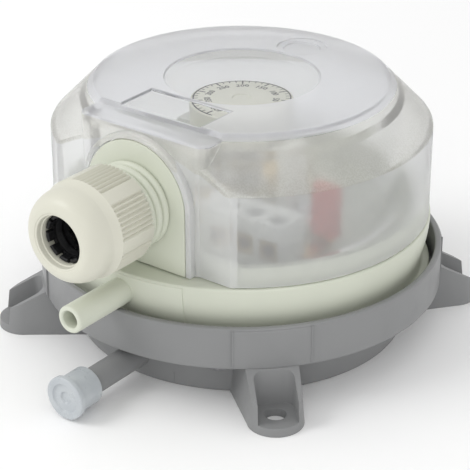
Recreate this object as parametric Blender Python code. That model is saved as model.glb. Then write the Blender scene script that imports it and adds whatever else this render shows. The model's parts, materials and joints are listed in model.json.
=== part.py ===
"""Differential pressure switch with a clear cover, a cable gland and two hose nozzles.

Metres, +Z up. The origin is the centre of the base's underside. The gland and both nozzles
point along -Y. The four fixing lugs stand on the diagonals.
"""
import math

import bmesh
import bpy
from mathutils import Matrix, Vector

MM = 0.001
GAP = 0.3 * MM                      # clearance between pieces that touch on the real switch
RUNNING = 0.3 * MM                  # radial clearance of every shaft, pin and spigot
LARGE_STEPS = 44                    # steps of a large turned form
MEDIUM_STEPS = 16                   # steps of a medium turned form
PIN_STEPS = 12                      # steps of a pin, a rivet or a well
SCREW_STEPS = 8                     # steps of a screw and its hole

# Widths, from the middle outwards: each follows the one inside it by a clearance or a wall

# Setpoint dial, its spindle, the seat that it drives and the bridge that carries it
DIAL_R = 12.0 * MM
DIAL_PLATE = 2.0 * MM
DIAL_WALL = 1.4 * MM
DIAL_HUB_R = 5.4 * MM
DIAL_SLOT_LENGTH = 7.0 * MM
DIAL_SLOT_WIDTH = 1.3 * MM
DIAL_SLOT_DEPTH = 1.0 * MM
SPINDLE_R = 3.2 * MM
SPINDLE_GROOVE = 0.35 * MM
SPINDLE_PITCH = 2.4 * MM
BRIDGE_R = 8.5 * MM
BRIDGE_PLATE = 2.0 * MM
BRIDGE_LEG = 2.6 * MM
BRIDGE_LEG_HALF = 4.0 * MM
BRIDGE_FOOT = 1.8 * MM
BRIDGE_SLOT_DEPTH = 1.2 * MM
BRIDGE_SCREW_R = 1.0 * MM
BRIDGE_SCREW_HEAD_R = 2.2 * MM
BRIDGE_SCREW_HEAD = 1.4 * MM
BRIDGE_BOSS_R = 3.0 * MM
DIAL_TO_LEG = 1.0 * MM
LEG_TO_SCREW = 5.3 * MM
SCREW_TO_END = 3.2 * MM
BRIDGE_LEG_X = DIAL_R + DIAL_TO_LEG
BRIDGE_SCREW_X = BRIDGE_LEG_X + LEG_TO_SCREW
BRIDGE_FOOT_REACH = BRIDGE_SCREW_X + SCREW_TO_END
SEAT_R = 5.8 * MM
SEAT_HEIGHT = 2.4 * MM
SEAT_EAR_HALF = 1.2 * MM
SEAT_EAR_REACH = BRIDGE_LEG_X + BRIDGE_SLOT_DEPTH - GAP

# Terminals, whose block stands in front of the bridge and reaches past its foot
POLE_PITCH = 6.4 * MM
POLE_HALF = 2.5 * MM
POLE_HEIGHT = 5.0 * MM
POLE_WALL = 1.3 * MM
WIRE_R = 1.4 * MM
CLAMP_SCREW_R = 1.05 * MM
CLAMP_SCREW_HEAD_R = 2.0 * MM
CLAMP_SCREW_HEAD = 1.8 * MM
STRIP = 0.6 * MM
STRIP_HALF = 1.2 * MM
STRIP_DEPTH = 1.7 * MM
SLEEVE_WALL = 0.6 * MM
TAB_WIDTH = 4.4 * MM
TAB_Y = -2.9 * MM
FOOT_TO_TAB = 1.7 * MM
TAB_OVERHANG = 1.6 * MM
POLE_TO_RIGHT_END = 3.0 * MM
POLE_TO_LEFT_END = 5.2 * MM
BLOCK_DEPTH = 9.5 * MM
LEG_TO_BLOCK = 8.0 * MM
TAB_X = (BRIDGE_FOOT_REACH + FOOT_TO_TAB, BRIDGE_FOOT_REACH + FOOT_TO_TAB + TAB_WIDTH)
BLOCK_RIGHT = TAB_X[1] - TAB_OVERHANG
POLE_X = [BLOCK_RIGHT - POLE_TO_RIGHT_END - POLE_PITCH * k for k in (2, 1, 0)]
BLOCK_X = (POLE_X[0] - POLE_TO_LEFT_END, BLOCK_RIGHT)
BLOCK_BACK = -BRIDGE_LEG_HALF - LEG_TO_BLOCK
BLOCK_Y = (BLOCK_BACK - BLOCK_DEPTH, BLOCK_BACK)

# Skirt of the cover and rim of the upper housing
SKIRT_WALL = 1.3 * MM
RIM_WALL = 1.7 * MM
LEDGE_EDGE = 0.4 * MM
BLOCK_TO_SKIRT = 9.8 * MM
SKIRT_TO_RIM = 4.0 * MM
RIM_SETBACK = 2.1 * MM
SKIRT_R = BLOCK_X[1] + BLOCK_TO_SKIRT
RIM_R = SKIRT_R + SKIRT_TO_RIM + RIM_WALL
LEDGE_R = RIM_R + RIM_SETBACK

# Collar and base of the lower housing
COLLAR_WALL = 1.5 * MM
COLLAR_LEAN = 0.1 * MM
COLLAR_CLEARANCE = 1.4 * MM
COLLAR_OVERHANG = 8.15 * MM
BASE_WALL = 2.0 * MM
BASE_EDGE = 0.5 * MM
PANEL_STEP = 0.22 * MM
PANEL_HALF_ANGLE = math.radians(10.5)
COLLAR_R = LEDGE_R + COLLAR_CLEARANCE + COLLAR_WALL
BASE_R = COLLAR_R - COLLAR_OVERHANG
CHAMBER_R = BASE_R - BASE_WALL

# Upper housing
CLAMP_CLEARANCE = 1.1 * MM
WAIST_SETBACK = 1.9 * MM
UPPER_WALL = 5.7 * MM
FRONT_PAD_HALF = 15.0 * MM
FRONT_PAD_STEP = 0.2 * MM
GUIDE_R = 4.0 * MM
CLAMP_R = COLLAR_R - COLLAR_WALL - CLAMP_CLEARANCE
WAIST_R = CLAMP_R - WAIST_SETBACK
UPPER_CHAMBER_R = WAIST_R - UPPER_WALL

# Screws that hold the two housings together, from below
HOUSING_SCREW_INSET = 5.0 * MM
HOUSING_SCREW_PCR = COLLAR_R - HOUSING_SCREW_INSET
HOUSING_SCREW_ANGLES = [math.radians(-90 + 30 + 60 * k) for k in range(6)]
HOUSING_SCREW_R = 1.5 * MM
HOUSING_SCREW_HEAD_R = 2.7 * MM
HOUSING_SCREW_HEAD = 1.8 * MM
HOUSING_SCREW_LENGTH = 7.0 * MM
HOUSING_BOSS_R = 2.6 * MM

# Diaphragm and the parts on it
DIAPHRAGM = 0.8 * MM
DIAPHRAGM_EDGE = 0.1 * MM
ROLL_SETBACK = 3.3 * MM
ROLL_WIDTH = 7.0 * MM
ROLL_HEIGHT = 2.4 * MM
SPIGOT_HOLE_R = 2.2 * MM
PLATE_SETBACK = 2.0 * MM
PLATE = 1.0 * MM
PLATE_HUB_R = 4.0 * MM
PLATE_HUB = 3.3 * MM
RIVET_HEAD_R = 3.4 * MM
PIN_R = 1.5 * MM
PIN_COLLAR_R = 3.0 * MM
PIN_COLLAR = 1.0 * MM
DIAPHRAGM_R = HOUSING_SCREW_PCR - HOUSING_SCREW_R - RUNNING - DIAPHRAGM_EDGE
ROLL_OUTER_R = UPPER_CHAMBER_R - ROLL_SETBACK
ROLL_INNER_R = ROLL_OUTER_R - ROLL_WIDTH
PLATE_R = ROLL_INNER_R - PLATE_SETBACK
BACKING_R = PLATE_R - PLATE_SETBACK

# Fixing lugs, drawn with u along the radius and v across it
LUG_ANGLES = [math.radians(45 + 90 * k) for k in range(4)]
LUG_REACH = 4.7 * MM
LUG_HOLE_U = COLLAR_R + LUG_REACH
LUG_HOLE_R = 2.4 * MM
LUG_FLOOR = 2.0 * MM
LUG_TIP_R = 6.2 * MM
LUG_TOP_TIP_R = 5.3 * MM
LUG_ROOT_HALF = 7.9 * MM
LUG_TOP_ROOT_HALF = 6.6 * MM
LUG_POCKET_HALF = 4.4 * MM
LUG_POCKET_CORNER = 2.2 * MM
LUG_POCKET_BACK = COLLAR_R + 0.4 * MM
LUG_SLOPE_START = COLLAR_R - COLLAR_WALL / 5
LUG_SLOPE = math.radians(27.5)      # the walls' tops fall by this angle from the collar outwards

# Hose nozzles and the cap on the lower one
NOZZLE_REACH = 13.5 * MM
NOZZLE_BORE_R = 1.75 * MM
NOZZLE_CHAMFER = 0.35 * MM
LOWER_NOZZLE_R = 3.0 * MM
UPPER_NOZZLE_R = 3.1 * MM
CAP_GRIP = 4.8 * MM
CAP_HEAD = 2.7 * MM
CAP_WALL = 0.7 * MM
CAP_FLANGE_R = 4.75 * MM
CAP_FLANGE = 1.1 * MM
CAP_DISH_R = 3.4 * MM
CAP_DISH = 0.5 * MM
NOZZLE_END = COLLAR_R + NOZZLE_REACH
CAP_START = NOZZLE_END - CAP_GRIP
CAP_END = NOZZLE_END + CAP_HEAD

# Widths of the cable gland, from its bore outwards
SEAL_BORE_R = 4.1 * MM
SEAL_WALL = 2.2 * MM
SEAL_LEDGE = 1.1 * MM
CLAW_WALL = 0.7 * MM
CLAW_TAPER = 0.7 * MM
CLAW_SLOT = 1.0 * MM
CLAW_SLOTS = 6
THREAD_OVER_CLAW = 0.75 * MM
THREAD_DEPTH = 0.7 * MM
THREAD_PITCH = 2.0 * MM
THREAD_TURNS = 4
NUT_WALL = 2.15 * MM
NUT_FLUTE_DEPTH = 0.4 * MM
NUT_PAD_DROP = 0.12 * MM
NUT_GROUPS = 6
NUT_FLUTES = 7
NUT_OVERLAP = 0.4 * MM
NUT_LIP = 1.1 * MM
NUT_TO_ARCH = 2.45 * MM
SEAL_R = SEAL_BORE_R + SEAL_WALL
CABLE_R = SEAL_R - SEAL_LEDGE
CLAW_TIP_R = SEAL_R + RUNNING + CLAW_WALL
CLAW_R = CLAW_TIP_R + CLAW_TAPER
THREAD_R = CLAW_R + THREAD_OVER_CLAW
NUT_MOUTH_R = SEAL_R - NUT_OVERLAP
NUT_LIP_R = NUT_MOUTH_R + NUT_LIP
NUT_R = THREAD_R + NUT_WALL
ARCH_R = NUT_R + NUT_TO_ARCH

# Widths of the cover, its flat front and the arch plate behind it
COVER_WALL = 1.8 * MM
COVER_SLOPE_WIDTH = 10.3 * MM
COVER_LEAN = 0.15 * MM
COVER_EDGE = 0.5 * MM
FLAT_DEPTH = 5.6 * MM
FLAT_TO_RIM = 4.7 * MM
ARCH_PLATE = 2.6 * MM
RIB = 2.0 * MM
RIB_INSET = 2.75 * MM
BEAD_WIDTH = 2.0 * MM
BEAD_PROUD = 0.6 * MM
HOOD_SIDE = 2.35 * MM
HOOD_PROUD = 0.3 * MM
HOOD_DEPTH = 8.5 * MM
HOOD_STEP_SLOPE = 0.9 * MM
DIMPLE_INSET = 10.0 * MM
DIMPLE_R = 4.2 * MM
DIMPLE_RING_R = 5.8 * MM
DIMPLE_DEPTH = 0.7 * MM
DIMPLE_CLEARANCE = 0.1 * MM
WINDOW_STEP = 0.3 * MM
WINDOW_BAR = 1.3 * MM
BOX_WINDOW_HALF = 10.7 * MM
COVER_SHOULDER_R = LEDGE_R
COVER_TOP_R = COVER_SHOULDER_R - COVER_SLOPE_WIDTH
COVER_FLAT = COVER_SHOULDER_R - FLAT_DEPTH
RIM_CHORD = COVER_FLAT - FLAT_TO_RIM
ARCH_FACE = COVER_FLAT
RIB_X = ARCH_R - RIB_INSET
HOOD_HALF = ARCH_R + GAP + BEAD_WIDTH + HOOD_SIDE
HOOD_STEP = COVER_FLAT - HOOD_DEPTH
DIMPLE_Y = COVER_TOP_R - DIMPLE_INSET
WINDOW_R = DIMPLE_Y - DIMPLE_RING_R - DIMPLE_CLEARANCE
BOX_WINDOW_BACK = WINDOW_R + WINDOW_BAR

# Lengths of the cable gland, from the arch plate outwards
PLATE_TO_NUT = 6.6 * MM
PLATE_TO_SEAL = 9.6 * MM
STUB_LENGTH = 13.0 * MM
CLAW_LENGTH = 6.2 * MM
SEAL_LIP = 0.7 * MM
NUT_BAND = 10.0 * MM
NUT_DOME = 7.2 * MM
THREAD_START = ARCH_FACE + THREAD_PITCH / 2
NUT_START = ARCH_FACE + PLATE_TO_NUT
SEAL_START = ARCH_FACE + PLATE_TO_SEAL
CLAW_START = ARCH_FACE + STUB_LENGTH
CLAW_END = CLAW_START + CLAW_LENGTH
SEAL_END = CLAW_END + SEAL_LIP
NUT_FLUTES_END = NUT_START + NUT_BAND
NUT_END = NUT_FLUTES_END + NUT_DOME

# Range spring
SPRING_MEAN_R = 4.6 * MM
SPRING_WIRE_R = 0.3 * MM
SPRING_TURNS = 5

# Contact lever and its pivot
LEVER = 0.8 * MM
LEVER_HALF = 2.6 * MM
LEVER_EYE_R = 5.0 * MM
LEVER_HOLE_R = 2.4 * MM
LEVER_TIP = 2.2 * MM
PIVOT_Y = 17.5 * MM
KNUCKLE_R = 1.5 * MM
KNUCKLE_HALF = 4.0 * MM
PIVOT_PIN_R = 0.6 * MM
BRACKET = 0.8 * MM
BRACKET_HALF_DEPTH = 3.0 * MM
CONTACT_INSET = 1.0 * MM
CONTACT_Y = -BLOCK_BACK + CONTACT_INSET
LEVER_TIP_Y = CONTACT_Y + LEVER_TIP
CONTACT_R = 1.5 * MM
CONTACT_HEAD = 0.7 * MM
CONTACT_SHANK_R = 0.8 * MM
CONTACT_OPENING = 1.2 * MM

# Heights, from the bottom upwards: each follows the one below it

# Both housings
BASE_FLOOR = 2.2 * MM
NOZZLE_MARGIN = 0.1 * MM
COLLAR_Z = 10.3 * MM                # underside of the collar
COLLAR_FLOOR = 2.0 * MM
COLLAR_HEIGHT = 9.9 * MM
CLAMP_RIM = 1.9 * MM
WAIST_DROP = 2.2 * MM
BOSS_DROP = 1.6 * MM
COLLAR_TO_ROOF = 3.8 * MM
ROOF = 2.0 * MM
LEDGE_RISE = 2.0 * MM
GUIDE_RISE = 3.0 * MM
RIM_RISE = 6.2 * MM
LOWER_NOZZLE_Z = BASE_FLOOR + LOWER_NOZZLE_R + NOZZLE_MARGIN
SEAT_Z = COLLAR_Z + COLLAR_FLOOR
DIAPHRAGM_Z = SEAT_Z + GAP
PLATE_Z = DIAPHRAGM_Z + DIAPHRAGM + GAP
CLAMP_Z = PLATE_Z
COLLAR_TOP = COLLAR_Z + COLLAR_HEIGHT
WAIST_Z = COLLAR_TOP - WAIST_DROP
HOUSING_BOSS_TOP = COLLAR_TOP - BOSS_DROP
UPPER_NOZZLE_Z = COLLAR_TOP + UPPER_NOZZLE_R - NOZZLE_MARGIN
ROOF_Z = COLLAR_TOP + COLLAR_TO_ROOF
FLOOR_Z = ROOF_Z + ROOF
LEDGE_Z = FLOOR_Z + LEDGE_RISE
GUIDE_TOP = FLOOR_Z + GUIDE_RISE
RIM_TOP = FLOOR_Z + RIM_RISE
COVER_LOW = LEDGE_Z + GAP

# What stands on the upper housing's floor
SKIRT_RISE = 3.5 * MM
POLE_RISE = 2.5 * MM
BLOCK_RISE = 11.0 * MM
SLEEVE_RISE = 2.4 * MM
TAB_RISE = 13.6 * MM
SKIRT_LOW = FLOOR_Z + SKIRT_RISE
POLE_LOW = FLOOR_Z + POLE_RISE
BLOCK_TOP = FLOOR_Z + BLOCK_RISE
SLEEVE_LOW = FLOOR_Z + SLEEVE_RISE
TAB_TOP = FLOOR_Z + TAB_RISE

# Lever, plunger, spring, bridge, dial and cover
LEVER_RISE = 2.7 * MM
PIN_RISE = 3.5 * MM
SPRING_LENGTH = 6.6 * MM
SPINDLE_RISE = 1.4 * MM
DIAL_RISE = 8.7 * MM
DIAL_SKIRT = 5.7 * MM
COVER_RISE = 6.6 * MM
COVER_SLOPE_HEIGHT = 10.1 * MM
HOOD_DROP = 1.0 * MM
BEAD_DROP = 0.45 * MM
RIB_RISE = 6.4 * MM
LEVER_Z = GUIDE_TOP + LEVER_RISE
LEVER_MID_Z = LEVER_Z + LEVER / 2
PIN_COLLAR_TOP = LEVER_Z - GAP
PIN_TOP = LEVER_Z + PIN_RISE
SPRING_PLATE_Z = LEVER_Z + LEVER + GAP
SPRING_LOW = SPRING_PLATE_Z + PLATE + GAP
SPRING_TOP = SPRING_LOW + SPRING_LENGTH
SEAT_LOW = SPRING_TOP + GAP
BRIDGE_Z = SEAT_LOW + SEAT_HEIGHT + 2 * GAP
SPINDLE_LOW = PIN_TOP + SPINDLE_RISE
DIAL_TOP = BRIDGE_Z + DIAL_RISE
DIAL_SKIRT_LOW = DIAL_TOP - DIAL_SKIRT
COVER_TOP = DIAL_TOP + COVER_RISE
COVER_SHOULDER_Z = COVER_TOP - COVER_SLOPE_HEIGHT
HOOD_TOP = COVER_TOP - HOOD_DROP
GLAND_Z = HOOD_TOP - BEAD_DROP - BEAD_WIDTH - GAP - ARCH_R
RIB_TOP = GLAND_Z + RIB_RISE

TO_FRONT = (math.radians(90), 0.0, 0.0)     # turns a form drawn along +Z to point along -Y


def clear_scene():
    for item in list(bpy.data.objects):
        bpy.data.objects.remove(item, do_unlink=True)


def make_material(name, colour, roughness, metallic=0.0, transmission=0.0):
    material = bpy.data.materials.new(name)
    material.use_nodes = True
    shader = material.node_tree.nodes["Principled BSDF"]
    shader.inputs["Base Color"].default_value = (*colour, 1.0)
    shader.inputs["Roughness"].default_value = roughness
    shader.inputs["Metallic"].default_value = metallic
    shader.inputs["Transmission Weight"].default_value = transmission
    material.diffuse_color = (*colour, 1.0)
    return material


def arc(centre, radius, start, end, steps):
    """Points on an arc, both ends included, angles in radians."""
    points = []
    for k in range(steps + 1):
        angle = start + (end - start) * k / steps
        points.append((centre[0] + radius * math.cos(angle), centre[1] + radius * math.sin(angle)))
    return points


def box_outline(x_low, x_high, y_low, y_high):
    return [(x_low, y_low), (x_high, y_low), (x_high, y_high), (x_low, y_high)]


def mesh_from(form, name):
    bmesh.ops.recalc_face_normals(form, faces=form.faces)
    mesh = bpy.data.meshes.new(name)
    form.to_mesh(mesh)
    form.free()
    return mesh


def turned(profile, steps=MEDIUM_STEPS, start=None, sweep=2 * math.pi, name="turned"):
    """Spin a profile of (radius, height) points about Z.

    A profile that starts and ends on the axis is an open line. Any other one is a closed loop.
    A full turn starts half a step off the X axis, so that its edges miss the corners of its cuts.
    """
    steps = int(steps)
    if start is None:
        start = math.pi / steps
    form = bmesh.new()
    begin = Matrix.Rotation(start, 3, "Z")
    points = [form.verts.new(begin @ Vector((radius, 0.0, height))) for radius, height in profile]
    lines = [form.edges.new(pair) for pair in zip(points, points[1:])]
    on_axis = profile[0][0] == 0.0 and profile[-1][0] == 0.0
    if not on_axis:
        lines.append(form.edges.new((points[-1], points[0])))
    full = abs(sweep - 2 * math.pi) < 1e-9
    bmesh.ops.spin(form, geom=points + lines, cent=(0, 0, 0), axis=(0, 0, 1),
                   angle=sweep, steps=steps, use_merge=full)
    bmesh.ops.remove_doubles(form, verts=form.verts, dist=1e-7)
    if on_axis:
        centres = [vert for vert in form.verts if vert.co.to_2d().length < 1e-7]
        flat_centres = [vert for vert in centres if all(
            abs(edge.other_vert(vert).co.z - vert.co.z) < 1e-7 for edge in vert.link_edges)]
        bmesh.ops.dissolve_verts(form, verts=flat_centres)
    if not full:
        open_edges = [edge for edge in form.edges if edge.is_boundary]
        bmesh.ops.holes_fill(form, edges=open_edges)
    return mesh_from(form, name)


def prism(outline, low, high, name="prism"):
    """Extrude an outline in X and Y from one height to another."""
    form = bmesh.new()
    face = form.faces.new([form.verts.new((x, y, low)) for x, y in outline])
    grown = bmesh.ops.extrude_face_region(form, geom=[face])
    raised = [item for item in grown["geom"] if isinstance(item, bmesh.types.BMVert)]
    bmesh.ops.translate(form, verts=raised, vec=(0, 0, high - low))
    return mesh_from(form, name)


def loft(low_outline, low, high_outline, high, name="loft"):
    """Join two outlines of as many points each into one tapering solid."""
    form = bmesh.new()
    lower = [form.verts.new((x, y, low)) for x, y in low_outline]
    upper = [form.verts.new((x, y, high)) for x, y in high_outline]
    form.faces.new(list(reversed(lower)))
    form.faces.new(upper)
    count = len(lower)
    for k in range(count):
        following = (k + 1) % count
        form.faces.new((lower[k], lower[following], upper[following], upper[k]))
    return mesh_from(form, name)


def block(x_range, y_range, z_range, name="block"):
    return prism(box_outline(*x_range, *y_range), *z_range, name=name)


def rod(radius, low, high, steps=MEDIUM_STEPS, name="rod"):
    return turned([(0.0, low), (radius, low), (radius, high), (0.0, high)], steps, name=name)


def add_piece(name, mesh, material, location=(0, 0, 0), rotation=(0, 0, 0)):
    mesh.name = name
    piece = bpy.data.objects.new(name, mesh)
    piece.location = location
    piece.rotation_euler = rotation
    mesh.materials.append(material)
    mesh.shade_smooth()
    mesh.set_sharp_from_angle(angle=math.radians(32))
    bpy.context.scene.collection.objects.link(piece)
    return piece


def add_tool(mesh, location=(0, 0, 0), rotation=(0, 0, 0)):
    tool = bpy.data.objects.new("tool", mesh)
    tool.location = location
    tool.rotation_euler = rotation
    tool.hide_render = True
    tool.display_type = "WIRE"
    bpy.context.scene.collection.objects.link(tool)
    return tool


def boolean(piece, tool, operation):
    step = piece.modifiers.new(operation.lower(), "BOOLEAN")
    step.operation = operation
    step.solver = "EXACT"
    step.object = tool


def cut(piece, mesh, location=(0, 0, 0), rotation=(0, 0, 0)):
    boolean(piece, add_tool(mesh, location, rotation), "DIFFERENCE")


def join(piece, mesh, location=(0, 0, 0), rotation=(0, 0, 0)):
    boolean(piece, add_tool(mesh, location, rotation), "UNION")


def polar(radius, angle, height=0.0):
    return (radius * math.cos(angle), radius * math.sin(angle), height)


# Lower housing

def lug_outline(root_half, tip_centre, tip_r):
    """A lug seen from above: straight sides that close in on a round tip."""
    root = CHAMBER_R + BASE_WALL / 2
    tip = arc((tip_centre, 0.0), tip_r, -math.pi / 2, math.pi / 2, 6)
    return [(root, -root_half)] + tip + [(root, root_half)]


def add_lug(angle):
    turn = (0.0, 0.0, angle)
    top = COLLAR_Z + COLLAR_FLOOR / 3
    lug = add_tool(loft(lug_outline(LUG_ROOT_HALF, LUG_HOLE_U, LUG_TIP_R), 0.0,
                        lug_outline(LUG_TOP_ROOT_HALF, LUG_HOLE_U, LUG_TOP_TIP_R), top), rotation=turn)
    far = LUG_HOLE_U + 2 * LUG_TIP_R
    corner = LUG_POCKET_CORNER
    corner_u = LUG_POCKET_BACK + corner
    corner_v = LUG_POCKET_HALF - corner
    back = (arc((corner_u, corner_v), corner, math.pi / 2, math.pi, 3)
            + arc((corner_u, -corner_v), corner, math.pi, math.pi * 3 / 2, 3))
    pocket = [(far, LUG_POCKET_HALF)] + back + [(far, -LUG_POCKET_HALF)]
    cut(lug, prism(pocket, LUG_FLOOR, 2 * top), rotation=turn)
    low = top - (far - LUG_SLOPE_START) * math.tan(LUG_SLOPE)
    slope = [(LUG_SLOPE_START, 2 * top), (LUG_SLOPE_START, top), (far, low), (far, 2 * top)]
    # Drawn in u and height, then stood up so that its extrusion runs across the lug
    width = 2 * LUG_ROOT_HALF
    upright = Matrix.Rotation(angle, 3, "Z") @ Matrix.Rotation(math.radians(90), 3, "X")
    cut(lug, prism(slope, -width, width), rotation=upright.to_euler())
    cut(lug, rod(LUG_HOLE_R, -LUG_FLOOR, 2 * LUG_FLOOR, PIN_STEPS), location=polar(LUG_HOLE_U, angle))
    return lug


def build_lower_housing(material):
    inner_r = COLLAR_R - COLLAR_WALL
    edge = COLLAR_WALL / 6
    profile = [(0.0, 0.0), (BASE_R - BASE_EDGE, 0.0), (BASE_R, BASE_EDGE), (BASE_R, COLLAR_Z),
               (COLLAR_R - COLLAR_LEAN, COLLAR_Z), (COLLAR_R, COLLAR_TOP - edge),
               (COLLAR_R - edge, COLLAR_TOP), (inner_r + edge, COLLAR_TOP),
               (inner_r, COLLAR_TOP - edge), (inner_r, SEAT_Z), (CHAMBER_R, SEAT_Z),
               (CHAMBER_R, BASE_FLOOR), (0.0, BASE_FLOOR)]
    housing = add_piece("lower_housing", turned(profile, LARGE_STEPS), material)
    for angle in LUG_ANGLES:
        boolean(housing, add_lug(angle), "UNION")
        outer = COLLAR_R + PANEL_STEP
        inner = COLLAR_R - COLLAR_WALL / 2
        panel = [(inner, COLLAR_Z + edge), (outer - COLLAR_LEAN, COLLAR_Z + edge),
                 (outer, COLLAR_TOP - 2 * edge), (inner, COLLAR_TOP - 2 * edge)]
        join(housing, turned(panel, 4, angle - PANEL_HALF_ANGLE, 2 * PANEL_HALF_ANGLE))
    nozzle = [(0.0, BASE_R - BASE_WALL / 2), (LOWER_NOZZLE_R, BASE_R - BASE_WALL / 2),
              (LOWER_NOZZLE_R, NOZZLE_END - NOZZLE_CHAMFER),
              (LOWER_NOZZLE_R - NOZZLE_CHAMFER, NOZZLE_END), (0.0, NOZZLE_END)]
    axis = (0.0, 0.0, LOWER_NOZZLE_Z)
    join(housing, turned(nozzle), axis, TO_FRONT)
    cut(housing, rod(NOZZLE_BORE_R, CHAMBER_R - BASE_WALL, 2 * NOZZLE_END, MEDIUM_STEPS), axis, TO_FRONT)
    # The upper nozzle lies in a shallow saddle in the collar's edge
    cut(housing, rod(UPPER_NOZZLE_R + GAP, BASE_R, NOZZLE_END), (0.0, 0.0, UPPER_NOZZLE_Z), TO_FRONT)
    for angle in HOUSING_SCREW_ANGLES:
        hole = rod(HOUSING_SCREW_R + RUNNING, COLLAR_Z - COLLAR_FLOOR, SEAT_Z + COLLAR_FLOOR, SCREW_STEPS)
        cut(housing, hole, polar(HOUSING_SCREW_PCR, angle))
    return housing


def build_housing_screws(material):
    """Six pan-head screws, driven from below through the collar's floor."""
    head_low = COLLAR_Z - GAP - HOUSING_SCREW_HEAD
    head_top = COLLAR_Z - GAP
    tip = head_top + HOUSING_SCREW_LENGTH
    edge = HOUSING_SCREW_HEAD / 4
    profile = [(0.0, head_low), (HOUSING_SCREW_HEAD_R - edge, head_low),
               (HOUSING_SCREW_HEAD_R, head_low + edge), (HOUSING_SCREW_HEAD_R, head_top),
               (HOUSING_SCREW_R, head_top), (HOUSING_SCREW_R, tip - edge),
               (HOUSING_SCREW_R - edge, tip), (0.0, tip)]
    for number, angle in enumerate(HOUSING_SCREW_ANGLES, 1):
        place = polar(HOUSING_SCREW_PCR, angle)
        add_piece(f"housing_screw_{number}", turned(profile, SCREW_STEPS), material, place)


def build_nozzle_cap(material):
    body_r = LOWER_NOZZLE_R + RUNNING + CAP_WALL
    flange_start = CAP_END - CAP_FLANGE
    profile = [(0.0, NOZZLE_END + GAP), (LOWER_NOZZLE_R + RUNNING, NOZZLE_END + GAP),
               (LOWER_NOZZLE_R + RUNNING, CAP_START), (body_r, CAP_START), (body_r, flange_start),
               (CAP_FLANGE_R, flange_start + CAP_FLANGE / 4), (CAP_FLANGE_R, CAP_END - CAP_FLANGE / 4),
               (CAP_FLANGE_R - CAP_FLANGE / 4, CAP_END), (CAP_DISH_R, CAP_END),
               (CAP_DISH_R * 0.7, CAP_END - CAP_DISH), (0.0, CAP_END - CAP_DISH)]
    return add_piece("nozzle_cap", turned(profile), material, (0, 0, LOWER_NOZZLE_Z), TO_FRONT)


# Diaphragm stack

def build_diaphragm(material):
    under = [(SPIGOT_HOLE_R, DIAPHRAGM_Z), (ROLL_INNER_R, DIAPHRAGM_Z)]
    steps = 6
    for k in range(1, steps):
        part = k / steps
        lift = ROLL_HEIGHT * math.sin(math.pi * part)
        under.append((ROLL_INNER_R + (ROLL_OUTER_R - ROLL_INNER_R) * part, DIAPHRAGM_Z + lift))
    under += [(ROLL_OUTER_R, DIAPHRAGM_Z), (DIAPHRAGM_R, DIAPHRAGM_Z)]
    over = [(radius, height + DIAPHRAGM) for radius, height in reversed(under)]
    return add_piece("diaphragm", turned(under + over, 18), material)


def build_diaphragm_plate(material):
    """Upper plate, whose spigot passes the diaphragm and is riveted over the lower disc."""
    spigot_r = SPIGOT_HOLE_R - RUNNING
    disc_low = DIAPHRAGM_Z - GAP - PLATE
    head_top = disc_low - GAP
    hub_top = PLATE_Z + PLATE + PLATE_HUB
    socket_r = PIN_R + RUNNING
    profile = [(0.0, head_top - PLATE), (RIVET_HEAD_R - GAP, head_top - PLATE), (RIVET_HEAD_R, head_top),
               (spigot_r, head_top), (spigot_r, PLATE_Z), (PLATE_R, PLATE_Z),
               (PLATE_R, PLATE_Z + PLATE), (PLATE_HUB_R, PLATE_Z + PLATE), (PLATE_HUB_R, hub_top),
               (socket_r, hub_top), (socket_r, PLATE_Z + PLATE), (0.0, PLATE_Z + PLATE)]
    return add_piece("diaphragm_plate", turned(profile, MEDIUM_STEPS), material)


def build_backing_disc(material):
    low = DIAPHRAGM_Z - GAP - PLATE
    profile = [(SPIGOT_HOLE_R, low), (BACKING_R, low), (BACKING_R, low + PLATE), (SPIGOT_HOLE_R, low + PLATE)]
    return add_piece("backing_disc", turned(profile, MEDIUM_STEPS), material)


def build_plunger_pin(material):
    low = PLATE_Z + PLATE + GAP
    collar_low = PIN_COLLAR_TOP - PIN_COLLAR
    profile = [(0.0, low), (PIN_R, low), (PIN_R, collar_low), (PIN_COLLAR_R, collar_low),
               (PIN_COLLAR_R, PIN_COLLAR_TOP), (PIN_R, PIN_COLLAR_TOP), (PIN_R, PIN_TOP - PIN_R / 3),
               (PIN_R * 2 / 3, PIN_TOP), (0.0, PIN_TOP)]
    return add_piece("plunger_pin", turned(profile, PIN_STEPS), material)


def build_spring_plate(material):
    hole = PIN_R + RUNNING
    low = SPRING_PLATE_Z
    rim = SEAT_R
    profile = [(hole, low), (rim, low), (rim, low + PLATE), (hole, low + PLATE)]
    return add_piece("spring_plate", turned(profile, MEDIUM_STEPS), material)


# Upper housing

def waist_curve(offset=0.0, top=LEDGE_Z):
    """The outer wall's section, which swells from the waist to the ledge."""
    points = []
    steps = 3
    for k in range(steps + 1):
        part = k / steps
        height = WAIST_Z + (top - LEDGE_EDGE - WAIST_Z) * part
        radius = WAIST_R + (LEDGE_R - WAIST_R) * math.sin(math.pi / 2 * part)
        points.append((radius + offset, height))
    return points


def chorded(radius, chord, steps=32):
    """A circle with its front cut off straight at Y = -chord."""
    corner = math.asin(chord / radius)
    return arc((0.0, 0.0), radius, -corner, math.pi + corner, steps)


def arch_outline(radius, low):
    """Straight sides that rise to a half circle about the gland's axis, drawn about that axis."""
    return [(-radius, low), (radius, low)] + arc((0.0, 0.0), radius, 0.0, math.pi, 14)


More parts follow.
